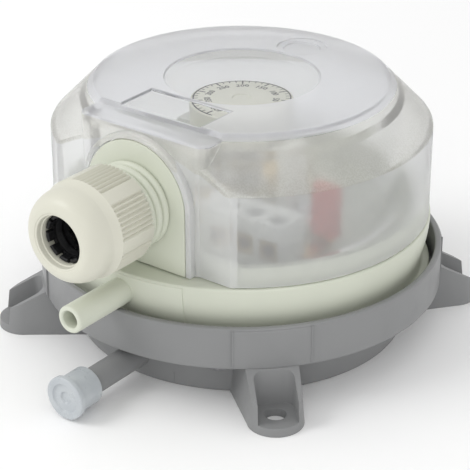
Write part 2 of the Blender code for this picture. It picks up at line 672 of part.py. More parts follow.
def build_upper_housing(material):
    flange_top = CLAMP_Z + CLAMP_RIM
    profile = [(0.0, ROOF_Z), (UPPER_CHAMBER_R, ROOF_Z), (UPPER_CHAMBER_R, CLAMP_Z), (CLAMP_R, CLAMP_Z),
               (CLAMP_R, flange_top), (WAIST_R, flange_top)]
    profile += waist_curve() + [(LEDGE_R - LEDGE_EDGE, LEDGE_Z), (0.0, LEDGE_Z)]
    housing = add_piece("upper_housing", turned(profile, LARGE_STEPS), material)
    half = math.asin(FRONT_PAD_HALF / LEDGE_R)
    pad = waist_curve(FRONT_PAD_STEP)
    pad = [(UPPER_CHAMBER_R + BASE_WALL, WAIST_Z)] + pad + [(UPPER_CHAMBER_R + BASE_WALL, pad[-1][1])]
    join(housing, turned(pad, 5, -math.pi / 2 - half, 2 * half))
    join(housing, prism(chorded(RIM_R, RIM_CHORD), FLOOR_Z, RIM_TOP))
    cut(housing, prism(chorded(RIM_R - RIM_WALL, RIM_CHORD - RIM_WALL), FLOOR_Z, 2 * RIM_TOP))
    sunk = BASE_WALL / 2
    join(housing, rod(GUIDE_R, FLOOR_Z - sunk, GUIDE_TOP))
    for side in (-1, 1):
        join(housing, rod(BRIDGE_BOSS_R, FLOOR_Z - sunk, GUIDE_TOP, PIN_STEPS), (side * BRIDGE_SCREW_X, 0, 0))
    for angle in HOUSING_SCREW_ANGLES:
        join(housing, rod(HOUSING_BOSS_R, CLAMP_Z + sunk / 2, HOUSING_BOSS_TOP, SCREW_STEPS),
             polar(HOUSING_SCREW_PCR, angle))
    add_gland_stub(housing)
    nozzle = [(0.0, UPPER_CHAMBER_R + BASE_WALL), (UPPER_NOZZLE_R, UPPER_CHAMBER_R + BASE_WALL),
              (UPPER_NOZZLE_R, NOZZLE_END - NOZZLE_CHAMFER),
              (UPPER_NOZZLE_R - NOZZLE_CHAMFER, NOZZLE_END), (0.0, NOZZLE_END)]
    axis = (0.0, 0.0, UPPER_NOZZLE_Z)
    join(housing, turned(nozzle), axis, TO_FRONT)
    bore = rod(NOZZLE_BORE_R, UPPER_CHAMBER_R - BASE_WALL, 2 * NOZZLE_END, MEDIUM_STEPS)
    cut(housing, bore, axis, TO_FRONT)
    cut(housing, rod(PIN_R + RUNNING, ROOF_Z - sunk, GUIDE_TOP + sunk, MEDIUM_STEPS))
    for side in (-1, 1):
        hole = rod(BRIDGE_SCREW_R + RUNNING, ROOF_Z + sunk / 2, GUIDE_TOP + sunk, SCREW_STEPS)
        cut(housing, hole, (side * BRIDGE_SCREW_X, 0, 0))
    for angle in HOUSING_SCREW_ANGLES:
        tip = COLLAR_Z - GAP + HOUSING_SCREW_LENGTH + GAP
        hole = rod(HOUSING_SCREW_R + RUNNING, COLLAR_Z, tip, SCREW_STEPS)
        cut(housing, hole, polar(HOUSING_SCREW_PCR, angle))
    return housing


def add_gland_stub(housing):
    """Arch plate, its two ribs, the threaded stub and the claws that squeeze the seal."""
    axis = (0.0, 0.0, GLAND_Z)
    low = LEDGE_Z - BASE_WALL / 2 - GLAND_Z
    back = ARCH_FACE - ARCH_PLATE
    join(housing, prism(arch_outline(ARCH_R, low), back, ARCH_FACE), axis, TO_FRONT)
    inside = RIM_CHORD - RIM_WALL
    rib = [(-back - ARCH_PLATE / 2, RIB_TOP), (-back - ARCH_PLATE / 2, LEDGE_Z - BASE_WALL / 2),
           (-inside - RIM_WALL / 2, LEDGE_Z - BASE_WALL / 2), (-inside - RIM_WALL / 2, RIM_TOP)]
    # Drawn in Y and Z, then turned so that the extrusion runs along X
    along_x = Matrix(((0, 0, 1), (1, 0, 0), (0, 1, 0))).to_euler()
    for side in (-1, 1):
        middle = side * RIB_X
        join(housing, prism(rib, middle - RIB / 2, middle + RIB / 2), rotation=along_x)
    root = THREAD_R - THREAD_DEPTH
    foot = THREAD_PITCH * 0.4
    outside = [(root, back + ARCH_PLATE / 2)]
    for k in range(THREAD_TURNS):
        middle = THREAD_START + THREAD_PITCH * k
        outside += [(root, middle - foot), (THREAD_R, middle), (root, middle + foot)]
    outside += [(CLAW_R, CLAW_START), (CLAW_TIP_R, CLAW_END)]
    step = SEAL_START - GAP
    bore = [(SEAL_R + RUNNING, CLAW_END), (SEAL_R + RUNNING, step), (CABLE_R, step),
            (CABLE_R, back + ARCH_PLATE / 2)]
    join(housing, turned(outside + bore, 20), axis, TO_FRONT)
    cut(housing, rod(CABLE_R, 0.0, step - BASE_WALL / 2, 20), axis, TO_FRONT)
    for k in range(CLAW_SLOTS // 2):
        around = Matrix.Rotation(math.pi * 2 * k / CLAW_SLOTS, 3, "Z")
        turn = Matrix.Rotation(math.radians(90), 3, "X") @ around
        slot = block((-CLAW_SLOT / 2, CLAW_SLOT / 2), (-2 * CLAW_R, 2 * CLAW_R), (CLAW_START, 2 * CLAW_END))
        cut(housing, slot, axis, turn.to_euler())


# Cable gland

def build_gland_seal(material):
    lip = (SEAL_R - SEAL_BORE_R) / 3
    profile = [(SEAL_BORE_R, SEAL_START), (SEAL_R, SEAL_START), (SEAL_R, SEAL_END - lip),
               (SEAL_R - lip, SEAL_END), (SEAL_BORE_R + lip, SEAL_END), (SEAL_BORE_R, SEAL_END - 2 * lip)]
    return add_piece("gland_seal", turned(profile), material, (0, 0, GLAND_Z), TO_FRONT)


def nut_outline():
    """Six groups of flutes around the nut with a plain wrench pad between each two."""
    outline = []
    share = 2 * math.pi / NUT_GROUPS
    fluted = share * 0.68
    for group in range(NUT_GROUPS):
        start = group * share - fluted / 2
        for flute in range(NUT_FLUTES):
            low = start + fluted * flute / NUT_FLUTES
            width = fluted / NUT_FLUTES
            outline.append(polar(NUT_R - NUT_FLUTE_DEPTH, low)[:2])
            outline.append(polar(NUT_R, low + width / 2)[:2])
        outline.append(polar(NUT_R - NUT_FLUTE_DEPTH, start + fluted)[:2])
        pad = share - fluted
        for part in (0.1, 0.9):
            outline.append(polar(NUT_R - NUT_PAD_DROP, start + fluted + pad * part)[:2])
    return outline


def build_gland_nut(material):
    bore = THREAD_R + RUNNING
    lip_depth = NUT_END - SEAL_END - GAP
    cone_start = CLAW_START - RUNNING
    core_r = NUT_R - NUT_FLUTE_DEPTH * 1.5
    dome = []
    for k in range(6):
        angle = math.pi / 2 * k / 5
        height = NUT_FLUTES_END + (NUT_END - NUT_FLUTES_END) * math.sin(angle)
        dome.append((NUT_LIP_R + (NUT_R + NUT_PAD_DROP - NUT_LIP_R) * math.cos(angle), height))
    outside = [(core_r, NUT_START), (core_r, NUT_FLUTES_END - NUT_FLUTE_DEPTH)] + dome
    throat = CLAW_TIP_R + 2 * RUNNING
    inside = [(NUT_MOUTH_R, NUT_END), (NUT_MOUTH_R, NUT_END - lip_depth / 3),
              (SEAL_R, NUT_END - lip_depth * 2 / 3), (SEAL_R + RUNNING, SEAL_END + GAP),
              (throat, CLAW_END), (bore, cone_start), (bore, NUT_START)]
    nut = add_piece("gland_nut", turned(outside + inside, 24), material, (0, 0, GLAND_Z), TO_FRONT)
    # The fluted band is bored clear of the turned core's thread, so that the two meet inside the wall
    band = prism(nut_outline(), NUT_START + NUT_FLUTE_DEPTH, NUT_FLUTES_END + NUT_PAD_DROP)
    band = add_tool(band, (0, 0, GLAND_Z), TO_FRONT)
    cut(band, rod((bore + core_r) / 2, 0.0, 2 * NUT_END, 24), (0, 0, GLAND_Z), TO_FRONT)
    boolean(nut, band, "UNION")
    return nut


# Cover

def cover_solid(inset, low):
    """The cover's outer form, or the hollow under it when inset by the wall."""
    fall = math.atan2(COVER_TOP - COVER_SHOULDER_Z, COVER_SHOULDER_R - COVER_TOP_R)
    slant = inset * math.tan(fall / 2)
    edge = COVER_EDGE
    top = COVER_TOP - inset
    top_r = COVER_TOP_R - slant
    shoulder_r = COVER_SHOULDER_R - inset
    shoulder_z = COVER_SHOULDER_Z - inset * math.tan((math.pi / 2 - fall) / 2)
    profile = [(0.0, top), (top_r - edge, top),
               (top_r + edge * math.cos(fall), top - edge * math.sin(fall)),
               (shoulder_r - edge * math.cos(fall), shoulder_z + edge * math.sin(fall)),
               (shoulder_r, shoulder_z - edge), (shoulder_r + COVER_LEAN, low), (0.0, low)]
    return turned(profile, LARGE_STEPS)


def trim_front(piece, flat, top, step):
    """Cut the round form back to the flat front, and lower its top in front of the step."""
    reach = 2 * COVER_SHOULDER_R
    cut(piece, block((-reach, reach), (-reach, -flat), (0.0, reach)))
    drop = [(-step, 2 * top), (-step, top + COVER_TOP - HOOD_TOP), (-step - HOOD_STEP_SLOPE, top),
            (-reach, top), (-reach, 2 * top)]
    along_x = Matrix(((0, 0, 1), (1, 0, 0), (0, 1, 0))).to_euler()
    cut(piece, prism(drop, -HOOD_HALF, HOOD_HALF), rotation=along_x)


def build_cover(material):
    cover = add_piece("cover", cover_solid(0.0, COVER_LOW), material)
    trim_front(cover, COVER_FLAT, HOOD_TOP, HOOD_STEP)
    front = COVER_FLAT + HOOD_PROUD
    join(cover, block((-HOOD_HALF, HOOD_HALF), (-front, -BOX_WINDOW_BACK), (COVER_LOW, HOOD_TOP)))
    axis = (0.0, 0.0, GLAND_Z)
    inner_arch = ARCH_R + GAP
    join(cover, prism(arch_outline(inner_arch + BEAD_WIDTH, COVER_LOW - GLAND_Z),
                      COVER_FLAT, front + BEAD_PROUD), axis, TO_FRONT)
    hollow = add_tool(cover_solid(COVER_WALL, COVER_LOW - COVER_WALL))
    trim_front(hollow, COVER_FLAT - COVER_WALL, HOOD_TOP - COVER_WALL, HOOD_STEP)
    inner_half = HOOD_HALF - COVER_WALL
    room = block((-inner_half, inner_half), (COVER_WALL - front, -BOX_WINDOW_BACK),
                 (COVER_LOW - COVER_WALL, HOOD_TOP - COVER_WALL))
    join(hollow, room)
    boolean(cover, hollow, "DIFFERENCE")
    add_skirt(cover)
    cut(cover, prism(arch_outline(inner_arch, -GLAND_Z), COVER_FLAT - 2 * COVER_WALL, 2 * COVER_FLAT),
        axis, TO_FRONT)
    cut(cover, rod(WINDOW_R, COVER_TOP - WINDOW_STEP, 2 * COVER_TOP, 36))
    cut(cover, block((-BOX_WINDOW_HALF, BOX_WINDOW_HALF), (-2 * HOOD_STEP, -BOX_WINDOW_BACK),
                     (COVER_TOP - WINDOW_STEP, 2 * COVER_TOP)))
    cut(cover, rod(DIMPLE_RING_R, COVER_TOP - WINDOW_STEP, 2 * COVER_TOP), (0, DIMPLE_Y, 0))
    cut(cover, rod(DIMPLE_R, COVER_TOP - DIMPLE_DEPTH, 2 * COVER_TOP), (0, DIMPLE_Y, 0))
    return cover


def add_skirt(cover):
    """The thin inner wall under the cover, open behind the gland for the wires."""
    inner = SKIRT_R - SKIRT_WALL
    share = (SKIRT_R - COVER_TOP_R) / (COVER_SHOULDER_R - COVER_TOP_R)
    top = COVER_TOP - (COVER_TOP - COVER_SHOULDER_Z) * share - COVER_WALL / 2
    ring = [(inner, SKIRT_LOW), (SKIRT_R, SKIRT_LOW), (SKIRT_R, top), (inner, top)]
    skirt = add_tool(turned(ring, 32, 0.0))
    reach = 2 * SKIRT_R
    front = RIM_CHORD - RIM_WALL - 2 * GAP
    cut(skirt, block((-reach, reach), (-reach, -front), (0.0, reach)))
    boolean(cover, skirt, "UNION")


# Setpoint dial

def build_setpoint_dial(material):
    skirt_inner = DIAL_R - DIAL_WALL
    under = DIAL_TOP - DIAL_PLATE
    hub_low = BRIDGE_Z + BRIDGE_PLATE + GAP
    hole = SPINDLE_R + RUNNING
    edge = DIAL_PLATE / 5
    profile = [(0.0, DIAL_TOP), (DIAL_R - edge, DIAL_TOP), (DIAL_R, DIAL_TOP - edge),
               (DIAL_R, DIAL_SKIRT_LOW), (skirt_inner, DIAL_SKIRT_LOW), (skirt_inner, under),
               (DIAL_HUB_R, under), (DIAL_HUB_R, hub_low), (hole, hub_low), (hole, under), (0.0, under)]
    dial = add_piece("setpoint_dial", turned(profile, 28), material)
    slot = block((-DIAL_SLOT_WIDTH / 2, DIAL_SLOT_WIDTH / 2), (-DIAL_SLOT_LENGTH / 2, DIAL_SLOT_LENGTH / 2),
                 (DIAL_TOP - DIAL_SLOT_DEPTH, 2 * DIAL_TOP))
    cut(dial, slot)
    return dial


def build_dial_spindle(material):
    top = DIAL_TOP - DIAL_PLATE - GAP
    root = SPINDLE_R - SPINDLE_GROOVE
    profile = [(0.0, SPINDLE_LOW), (root, SPINDLE_LOW)]
    turns = int((BRIDGE_Z - SPINDLE_LOW) / SPINDLE_PITCH)
    for k in range(turns):
        low = SPINDLE_LOW + SPINDLE_PITCH * k
        profile += [(SPINDLE_R, low + SPINDLE_PITCH * 0.3), (SPINDLE_R, low + SPINDLE_PITCH * 0.7),
                    (root, low + SPINDLE_PITCH)]
    profile += [(SPINDLE_R, BRIDGE_Z), (SPINDLE_R, top), (0.0, top)]
    return add_piece("dial_spindle", turned(profile, PIN_STEPS), material)


def build_spring_seat(material):
    """Nut on the spindle. Two ears in the bridge's grooves keep it from turning."""
    hole = SPINDLE_R + RUNNING
    top = SEAT_LOW + SEAT_HEIGHT
    profile = [(hole, SEAT_LOW), (SEAT_R, SEAT_LOW), (SEAT_R, top), (hole, top)]
    seat = add_piece("spring_seat", turned(profile, MEDIUM_STEPS), material)
    inner = (hole + SEAT_R) / 2
    for side in (-1, 1):
        ends = sorted((side * inner, side * SEAT_EAR_REACH))
        third = SEAT_HEIGHT / 4
        join(seat, block(ends, (-SEAT_EAR_HALF, SEAT_EAR_HALF), (SEAT_LOW + third, top - third)))
    return seat


def build_dial_bridge(material):
    hole = SPINDLE_R + RUNNING
    top = BRIDGE_Z + BRIDGE_PLATE
    foot_z = GUIDE_TOP + GAP
    profile = [(hole, BRIDGE_Z), (BRIDGE_R, BRIDGE_Z), (BRIDGE_R, top), (hole, top)]
    bridge = add_piece("dial_bridge", turned(profile, MEDIUM_STEPS), material)
    outer = BRIDGE_LEG_X + BRIDGE_LEG
    for side in (-1, 1):
        arm = sorted((side * BRIDGE_R / 2, side * outer))
        join(bridge, block(arm, (-BRIDGE_LEG_HALF, BRIDGE_LEG_HALF), (BRIDGE_Z, top)))
        leg = sorted((side * BRIDGE_LEG_X, side * outer))
        join(bridge, block(leg, (-BRIDGE_LEG_HALF, BRIDGE_LEG_HALF), (foot_z, top)))
        foot = sorted((side * BRIDGE_LEG_X, side * BRIDGE_FOOT_REACH))
        join(bridge, block(foot, (-BRIDGE_LEG_HALF, BRIDGE_LEG_HALF), (foot_z, foot_z + BRIDGE_FOOT)))
        groove = sorted((side * BRIDGE_LEG_X / 2, side * (BRIDGE_LEG_X + BRIDGE_SLOT_DEPTH)))
        half = SEAT_EAR_HALF + RUNNING
        cut(bridge, block(groove, (-half, half), (foot_z + BRIDGE_FOOT, BRIDGE_Z)))
        cut(bridge, rod(BRIDGE_SCREW_R + RUNNING, 0.0, BRIDGE_Z - BRIDGE_PLATE, SCREW_STEPS),
            (side * BRIDGE_SCREW_X, 0, 0))
    return bridge


def build_bridge_screws(material):
    head_low = GUIDE_TOP + GAP + BRIDGE_FOOT + GAP
    head_top = head_low + BRIDGE_SCREW_HEAD
    low = ROOF_Z + BASE_WALL / 2
    edge = BRIDGE_SCREW_HEAD / 4
    profile = [(0.0, low), (BRIDGE_SCREW_R, low), (BRIDGE_SCREW_R, head_low),
               (BRIDGE_SCREW_HEAD_R, head_low), (BRIDGE_SCREW_HEAD_R, head_top - edge),
               (BRIDGE_SCREW_HEAD_R - edge, head_top), (0.0, head_top)]
    for number, side in enumerate((-1, 1), 1):
        place = (side * BRIDGE_SCREW_X, 0, 0)
        add_piece(f"bridge_screw_{number}", turned(profile, SCREW_STEPS), material, place)


def build_range_spring(material):
    """A helix with a closed turn at each end, as a bevelled curve."""
    curve = bpy.data.curves.new("range_spring", "CURVE")
    curve.dimensions = "3D"
    curve.bevel_depth = SPRING_WIRE_R
    curve.bevel_resolution = 1
    curve.use_fill_caps = True
    steps = 9
    low = SPRING_LOW + SPRING_WIRE_R
    high = SPRING_TOP - SPRING_WIRE_R
    line = curve.splines.new("POLY")
    count = SPRING_TURNS * steps + 1
    line.points.add(count - 1)
    close = 2.4 * SPRING_WIRE_R
    for k in range(count):
        turn = k / steps
        rest = SPRING_TURNS - 2
        middle = (high - low - 2 * close) / rest
        if turn < 1:
            height = low + close * turn
        elif turn < SPRING_TURNS - 1:
            height = low + close + middle * (turn - 1)
        else:
            height = high - close * (SPRING_TURNS - turn)
        x, y, z = polar(SPRING_MEAN_R, 2 * math.pi * turn, height)
        line.points[k].co = (x, y, z, 1.0)
    curve.materials.append(material)
    spring = bpy.data.objects.new("range_spring", curve)
    bpy.context.scene.collection.objects.link(spring)
    return spring


# Switch mechanism

def build_contact_lever(material):
    """Strip with an eye around the plunger and a rolled knuckle on its pivot."""
    eye_half = math.asin(LEVER_HALF / LEVER_EYE_R)
    front = arc((0.0, 0.0), LEVER_EYE_R, math.radians(-90) + eye_half, math.radians(90) - eye_half, 6)
    rear = arc((0.0, 0.0), LEVER_EYE_R, math.radians(90) + eye_half, math.radians(270) - eye_half, 6)
    outline = [(-LEVER_HALF, -LEVER_TIP_Y), (LEVER_HALF, -LEVER_TIP_Y)] + front
    outline += [(LEVER_HALF, PIVOT_Y), (-LEVER_HALF, PIVOT_Y)] + rear
    turn_x = Matrix(((0, 0, 1), (1, 0, 0), (0, 1, 0))).to_euler()
    pivot = (0.0, PIVOT_Y, LEVER_MID_Z)
    shape = prism(outline, LEVER_Z, LEVER_Z + LEVER)
    shape.transform(Matrix.Translation(Vector(pivot)).inverted())
    lever = add_piece("contact_lever", shape, material, pivot)
    join(lever, rod(KNUCKLE_R, -KNUCKLE_HALF, KNUCKLE_HALF, PIN_STEPS), pivot, turn_x)
    cut(lever, rod(PIVOT_PIN_R + RUNNING, -2 * KNUCKLE_HALF, 2 * KNUCKLE_HALF, PIN_STEPS), pivot, turn_x)
    cut(lever, rod(LEVER_HOLE_R, LEVER_Z - LEVER, LEVER_Z + 2 * LEVER, PIN_STEPS))
    hole = rod(CONTACT_SHANK_R + RUNNING, LEVER_Z - LEVER, LEVER_Z + 2 * LEVER, PIN_STEPS)
    cut(lever, hole, (0, -CONTACT_Y, 0))
    return lever


def build_contact_rivet(material):
    low = LEVER_Z - GAP
    top = LEVER_Z + LEVER + GAP
    crown_r = CONTACT_R * 0.7
    profile = [(0.0, low - CONTACT_HEAD), (crown_r, low - CONTACT_HEAD), (CONTACT_R, low - CONTACT_HEAD / 2),
               (CONTACT_R, low), (CONTACT_SHANK_R, low), (CONTACT_SHANK_R, top), (CONTACT_R, top),
               (CONTACT_R, top + CONTACT_HEAD / 2), (crown_r, top + CONTACT_HEAD), (0.0, top + CONTACT_HEAD)]
    return add_piece("contact_rivet", turned(profile, PIN_STEPS), material, (0, -CONTACT_Y, 0))


def build_pivot_pin(material):
    half = KNUCKLE_HALF + 2 * GAP + BRACKET + 2 * GAP
    turn_x = Matrix(((0, 0, 1), (1, 0, 0), (0, 1, 0))).to_euler()
    return add_piece("pivot_pin", rod(PIVOT_PIN_R, -half, half, PIN_STEPS), material,
                     (0, PIVOT_Y, LEVER_MID_Z), turn_x)


def build_pivot_bracket(material):
    """Folded strip: a base on the housing's floor and an ear each side of the knuckle."""
    ear = KNUCKLE_HALF + 2 * GAP
    low = FLOOR_Z + GAP
    top = LEVER_MID_Z + KNUCKLE_R
    depth = (PIVOT_Y - BRACKET_HALF_DEPTH, PIVOT_Y + BRACKET_HALF_DEPTH)
    outer = ear + BRACKET
    fold = [(-outer, top), (-outer, low), (outer, low), (outer, top), (ear, top),
            (ear, low + BRACKET), (-ear, low + BRACKET), (-ear, top)]
    shape = prism([(x, z) for x, z in fold], -depth[1], -depth[0])
    bracket = add_piece("pivot_bracket", shape, material, rotation=TO_FRONT)
    turn_x = Matrix(((0, 0, 1), (1, 0, 0), (0, 1, 0))).to_euler()
    hole = rod(PIVOT_PIN_R + RUNNING, -2 * outer, 2 * outer, PIN_STEPS)
    cut(bracket, hole, (0, PIVOT_Y, LEVER_MID_Z), turn_x)
    return bracket


def strip_levels():
    """Heights of the lower and upper fixed contact strips."""
    rivet_low = LEVER_Z - GAP - CONTACT_HEAD
    rivet_top = LEVER_Z + LEVER + GAP + CONTACT_HEAD
    lower = rivet_low - GAP - CONTACT_HEAD - STRIP
    upper = rivet_top + CONTACT_OPENING + CONTACT_HEAD
    return lower, upper


def build_contact_strip(name, low, button_up, material):
    reach = BLOCK_X[0] + STRIP_DEPTH
    start = -CONTACT_R - GAP
    y_range = (-CONTACT_Y - STRIP_HALF, -CONTACT_Y + STRIP_HALF)
    strip = add_piece(name, block((start, reach), y_range, (low, low + STRIP)), material)
    if button_up:
        button = (low + STRIP / 2, low + STRIP + CONTACT_HEAD)
    else:
        button = (low - CONTACT_HEAD, low + STRIP / 2)
    join(strip, rod(CONTACT_R * 0.75, *button, PIN_STEPS), (0, -CONTACT_Y, 0))
    return strip


def build_terminal_block(material):
    terminals = add_piece("terminal_block", block(BLOCK_X, BLOCK_Y, (FLOOR_Z + GAP, BLOCK_TOP)), material)
    back = BLOCK_Y[1] - POLE_WALL
    for x in POLE_X:
        cavity = block((x - POLE_HALF, x + POLE_HALF), (2 * BLOCK_Y[0], back),
                       (POLE_LOW, POLE_LOW + POLE_HEIGHT))
        cut(terminals, cavity)
        well = rod(CLAMP_SCREW_HEAD_R + RUNNING, POLE_LOW + POLE_HEIGHT / 2, 2 * BLOCK_TOP, PIN_STEPS)
        cut(terminals, well, (x, (BLOCK_Y[0] + back) / 2, 0))
    for level in strip_levels():
        slot = block((0.0, BLOCK_X[0] + STRIP_DEPTH + GAP),
                     (-CONTACT_Y - STRIP_HALF - GAP, -CONTACT_Y + STRIP_HALF + GAP),
                     (level - GAP, level + STRIP + GAP))
        cut(terminals, slot)
    low = FLOOR_Z + 2 * GAP
    slot = block((TAB_X[0] - GAP, TAB_X[1] + GAP), (BLOCK_Y[1] - POLE_WALL, 0.0), (0.0, low + STRIP + GAP))
    cut(terminals, slot)
    return terminals


def build_terminals(names, material):
    """Brass clamp cages, each open to the front for a wire and on top for its screw."""
    back = BLOCK_Y[1] - POLE_WALL
    middle_y = (BLOCK_Y[0] + back) / 2
    low = POLE_LOW + GAP
    top = POLE_LOW + POLE_HEIGHT - GAP
    middle_z = (low + top) / 2
    for name, x in zip(names, POLE_X):
        cage = add_piece(name, block((x - POLE_HALF + GAP, x + POLE_HALF - GAP),
                                     (BLOCK_Y[0] + GAP, back - GAP), (low, top)), material)
        cut(cage, rod(WIRE_R, 0.0, 1.0, PIN_STEPS), (x, 0, middle_z), TO_FRONT)
        cut(cage, rod(CLAMP_SCREW_R + RUNNING, middle_z, 2 * top, SCREW_STEPS), (x, middle_y, 0))


def build_terminal_screws(material):
    back = BLOCK_Y[1] - POLE_WALL
    middle_y = (BLOCK_Y[0] + back) / 2
    cage_top = POLE_LOW + POLE_HEIGHT - GAP
    tip = POLE_LOW + POLE_HEIGHT / 2 + WIRE_R / 2
    head_low = cage_top + GAP
    head_top = head_low + CLAMP_SCREW_HEAD
    profile = [(0.0, tip), (CLAMP_SCREW_R, tip), (CLAMP_SCREW_R, head_low), (CLAMP_SCREW_HEAD_R, head_low),
               (CLAMP_SCREW_HEAD_R, head_top), (0.0, head_top)]
    for number, x in enumerate(POLE_X, 1):
        place = (x, middle_y, 0)
        screw = add_piece(f"terminal_screw_{number}", turned(profile, PIN_STEPS), material, place)
        reach = 2 * CLAMP_SCREW_HEAD_R
        slot = block((-CLAMP_SCREW_R / 4, CLAMP_SCREW_R / 4), (-reach, reach),
                     (head_top - CLAMP_SCREW_HEAD / 3, 2 * head_top))
        cut(screw, slot, place)


def build_common_tab(material):
    """Bent strip that leaves the block at the back and stands up as a blade."""
    low = FLOOR_Z + 2 * GAP
    start = BLOCK_Y[1] - POLE_WALL + GAP
    face = TAB_Y + STRIP / 2
    fold = [(start, low), (face, low), (face, TAB_TOP), (face - STRIP, TAB_TOP),
            (face - STRIP, low + STRIP), (start, low + STRIP)]
    along_x = Matrix(((0, 0, 1), (1, 0, 0), (0, 1, 0))).to_euler()
    return add_piece("common_tab", prism(fold, *TAB_X), material, rotation=along_x)


def build_tab_sleeve(material):
    """Red insulating sleeve pushed over the blade."""
    room_x = (TAB_X[0] - RUNNING, TAB_X[1] + RUNNING)
    room_y = (TAB_Y - STRIP / 2 - RUNNING, TAB_Y + STRIP / 2 + RUNNING)
    outer_x = (room_x[0] - SLEEVE_WALL, room_x[1] + SLEEVE_WALL)
    outer_y = (room_y[0] - SLEEVE_WALL, room_y[1] + SLEEVE_WALL)
    top = TAB_TOP + RUNNING
    sleeve = add_piece("tab_sleeve", block(outer_x, outer_y, (SLEEVE_LOW, top + SLEEVE_WALL)), material)
    cut(sleeve, block(room_x, room_y, (0.0, top)))
    return sleeve


def main():
    clear_scene()
    grey = make_material("grey_housing", (0.27, 0.28, 0.28), 0.5)
    pale = make_material("pale_housing", (0.60, 0.62, 0.53), 0.5)
    ivory = make_material("ivory_nut", (0.76, 0.75, 0.66), 0.45)
    clear = make_material("clear_cover", (0.86, 0.86, 0.90), 0.08, transmission=0.9)
    milky = make_material("milky_cap", (0.72, 0.76, 0.78), 0.35, transmission=0.3)
    black = make_material("black_rubber", (0.02, 0.02, 0.02), 0.7)
    silicone = make_material("silicone", (0.75, 0.55, 0.42), 0.6)
    cream = make_material("cream_dial", (0.80, 0.80, 0.70), 0.45)
    white = make_material("white_block", (0.82, 0.83, 0.80), 0.5)
    red = make_material("red_sleeve", (0.62, 0.08, 0.05), 0.5)
    brass = make_material("brass", (0.72, 0.52, 0.22), 0.3, 1.0)
    steel = make_material("zinc_steel", (0.62, 0.63, 0.65), 0.35, 1.0)
    spring_steel = make_material("spring_steel", (0.50, 0.51, 0.53), 0.3, 1.0)
    alloy = make_material("aluminium", (0.75, 0.76, 0.78), 0.4, 1.0)
    silver = make_material("silver_contact", (0.85, 0.84, 0.80), 0.25, 1.0)

    build_lower_housing(grey)
    build_upper_housing(pale)
    build_housing_screws(steel)
    build_diaphragm(silicone)
    build_diaphragm_plate(alloy)
    build_backing_disc(alloy)
    build_plunger_pin(steel)
    build_spring_plate(steel)
    build_range_spring(spring_steel)
    build_spring_seat(white)
    build_dial_spindle(brass)
    build_setpoint_dial(cream)
    build_dial_bridge(white)
    build_bridge_screws(steel)
    build_contact_lever(brass)
    build_contact_rivet(silver)
    build_pivot_bracket(brass)
    build_pivot_pin(steel)
    lower, upper = strip_levels()
    build_contact_strip("contact_strip_closed", lower, True, brass)
    build_contact_strip("contact_strip_open", upper, False, brass)
    build_terminal_block(white)
    build_terminals(["terminal_closed", "terminal_open", "terminal_common"], brass)
    build_terminal_screws(steel)
    build_common_tab(brass)
    build_tab_sleeve(red)
    build_gland_seal(black)
    build_gland_nut(ivory)
    build_nozzle_cap(milky)
    build_cover(clear)


main()
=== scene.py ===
import json
import math

import bmesh
import bpy
from mathutils import Matrix, Vector


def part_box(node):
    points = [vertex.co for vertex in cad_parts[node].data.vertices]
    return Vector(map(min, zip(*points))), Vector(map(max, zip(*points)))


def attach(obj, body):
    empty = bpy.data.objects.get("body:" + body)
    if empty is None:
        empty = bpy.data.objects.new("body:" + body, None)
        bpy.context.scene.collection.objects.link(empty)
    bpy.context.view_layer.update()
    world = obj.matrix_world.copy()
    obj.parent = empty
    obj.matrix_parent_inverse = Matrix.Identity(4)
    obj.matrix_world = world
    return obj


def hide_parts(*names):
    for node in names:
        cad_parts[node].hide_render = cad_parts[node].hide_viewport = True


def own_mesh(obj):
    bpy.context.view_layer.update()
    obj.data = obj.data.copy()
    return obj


# Looks of a differential pressure switch: clear cover, pale housing, grey base, cable gland.
# Metres, +Z up, the gland and the nozzles point along -Y.
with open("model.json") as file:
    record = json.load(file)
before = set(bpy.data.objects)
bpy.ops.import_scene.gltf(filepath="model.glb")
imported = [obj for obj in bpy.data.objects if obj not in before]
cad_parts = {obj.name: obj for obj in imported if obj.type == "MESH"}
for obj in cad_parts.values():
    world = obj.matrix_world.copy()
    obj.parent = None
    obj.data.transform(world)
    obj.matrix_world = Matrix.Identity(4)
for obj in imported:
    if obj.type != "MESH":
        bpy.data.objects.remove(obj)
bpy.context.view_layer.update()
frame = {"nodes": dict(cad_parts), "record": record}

MM = 0.001

TO_FRONT = Matrix.Rotation(math.radians(90), 4, "X")
ALONG_X = Matrix(((0, 0, 1, 0), (1, 0, 0, 0), (0, 1, 0, 0), (0, 0, 0, 1)))
NONE = 1e-9                         # a length or an angle below it counts as none

# Sizes read from the frame
COVER_LOW, COVER_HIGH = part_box("cover")
NUT_LOW, NUT_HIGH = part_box("gland_nut")
SEAL_LOW, SEAL_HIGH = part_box("gland_seal")
CAP_LOW, CAP_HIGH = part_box("nozzle_cap")
DIAL_LOW, DIAL_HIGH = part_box("setpoint_dial")
BASE_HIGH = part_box("lower_housing")[1]
UPPER_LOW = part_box("upper_housing")[0]

# Usual radii of rounded corners, and the usual gap between two pieces
HAIR = 0.1 * MM
FINE_ROUND = 0.2 * MM
ROUND = 0.3 * MM
BROAD_ROUND = 0.5 * MM
WIDE_ROUND = 1.0 * MM
FIT = 0.3 * MM

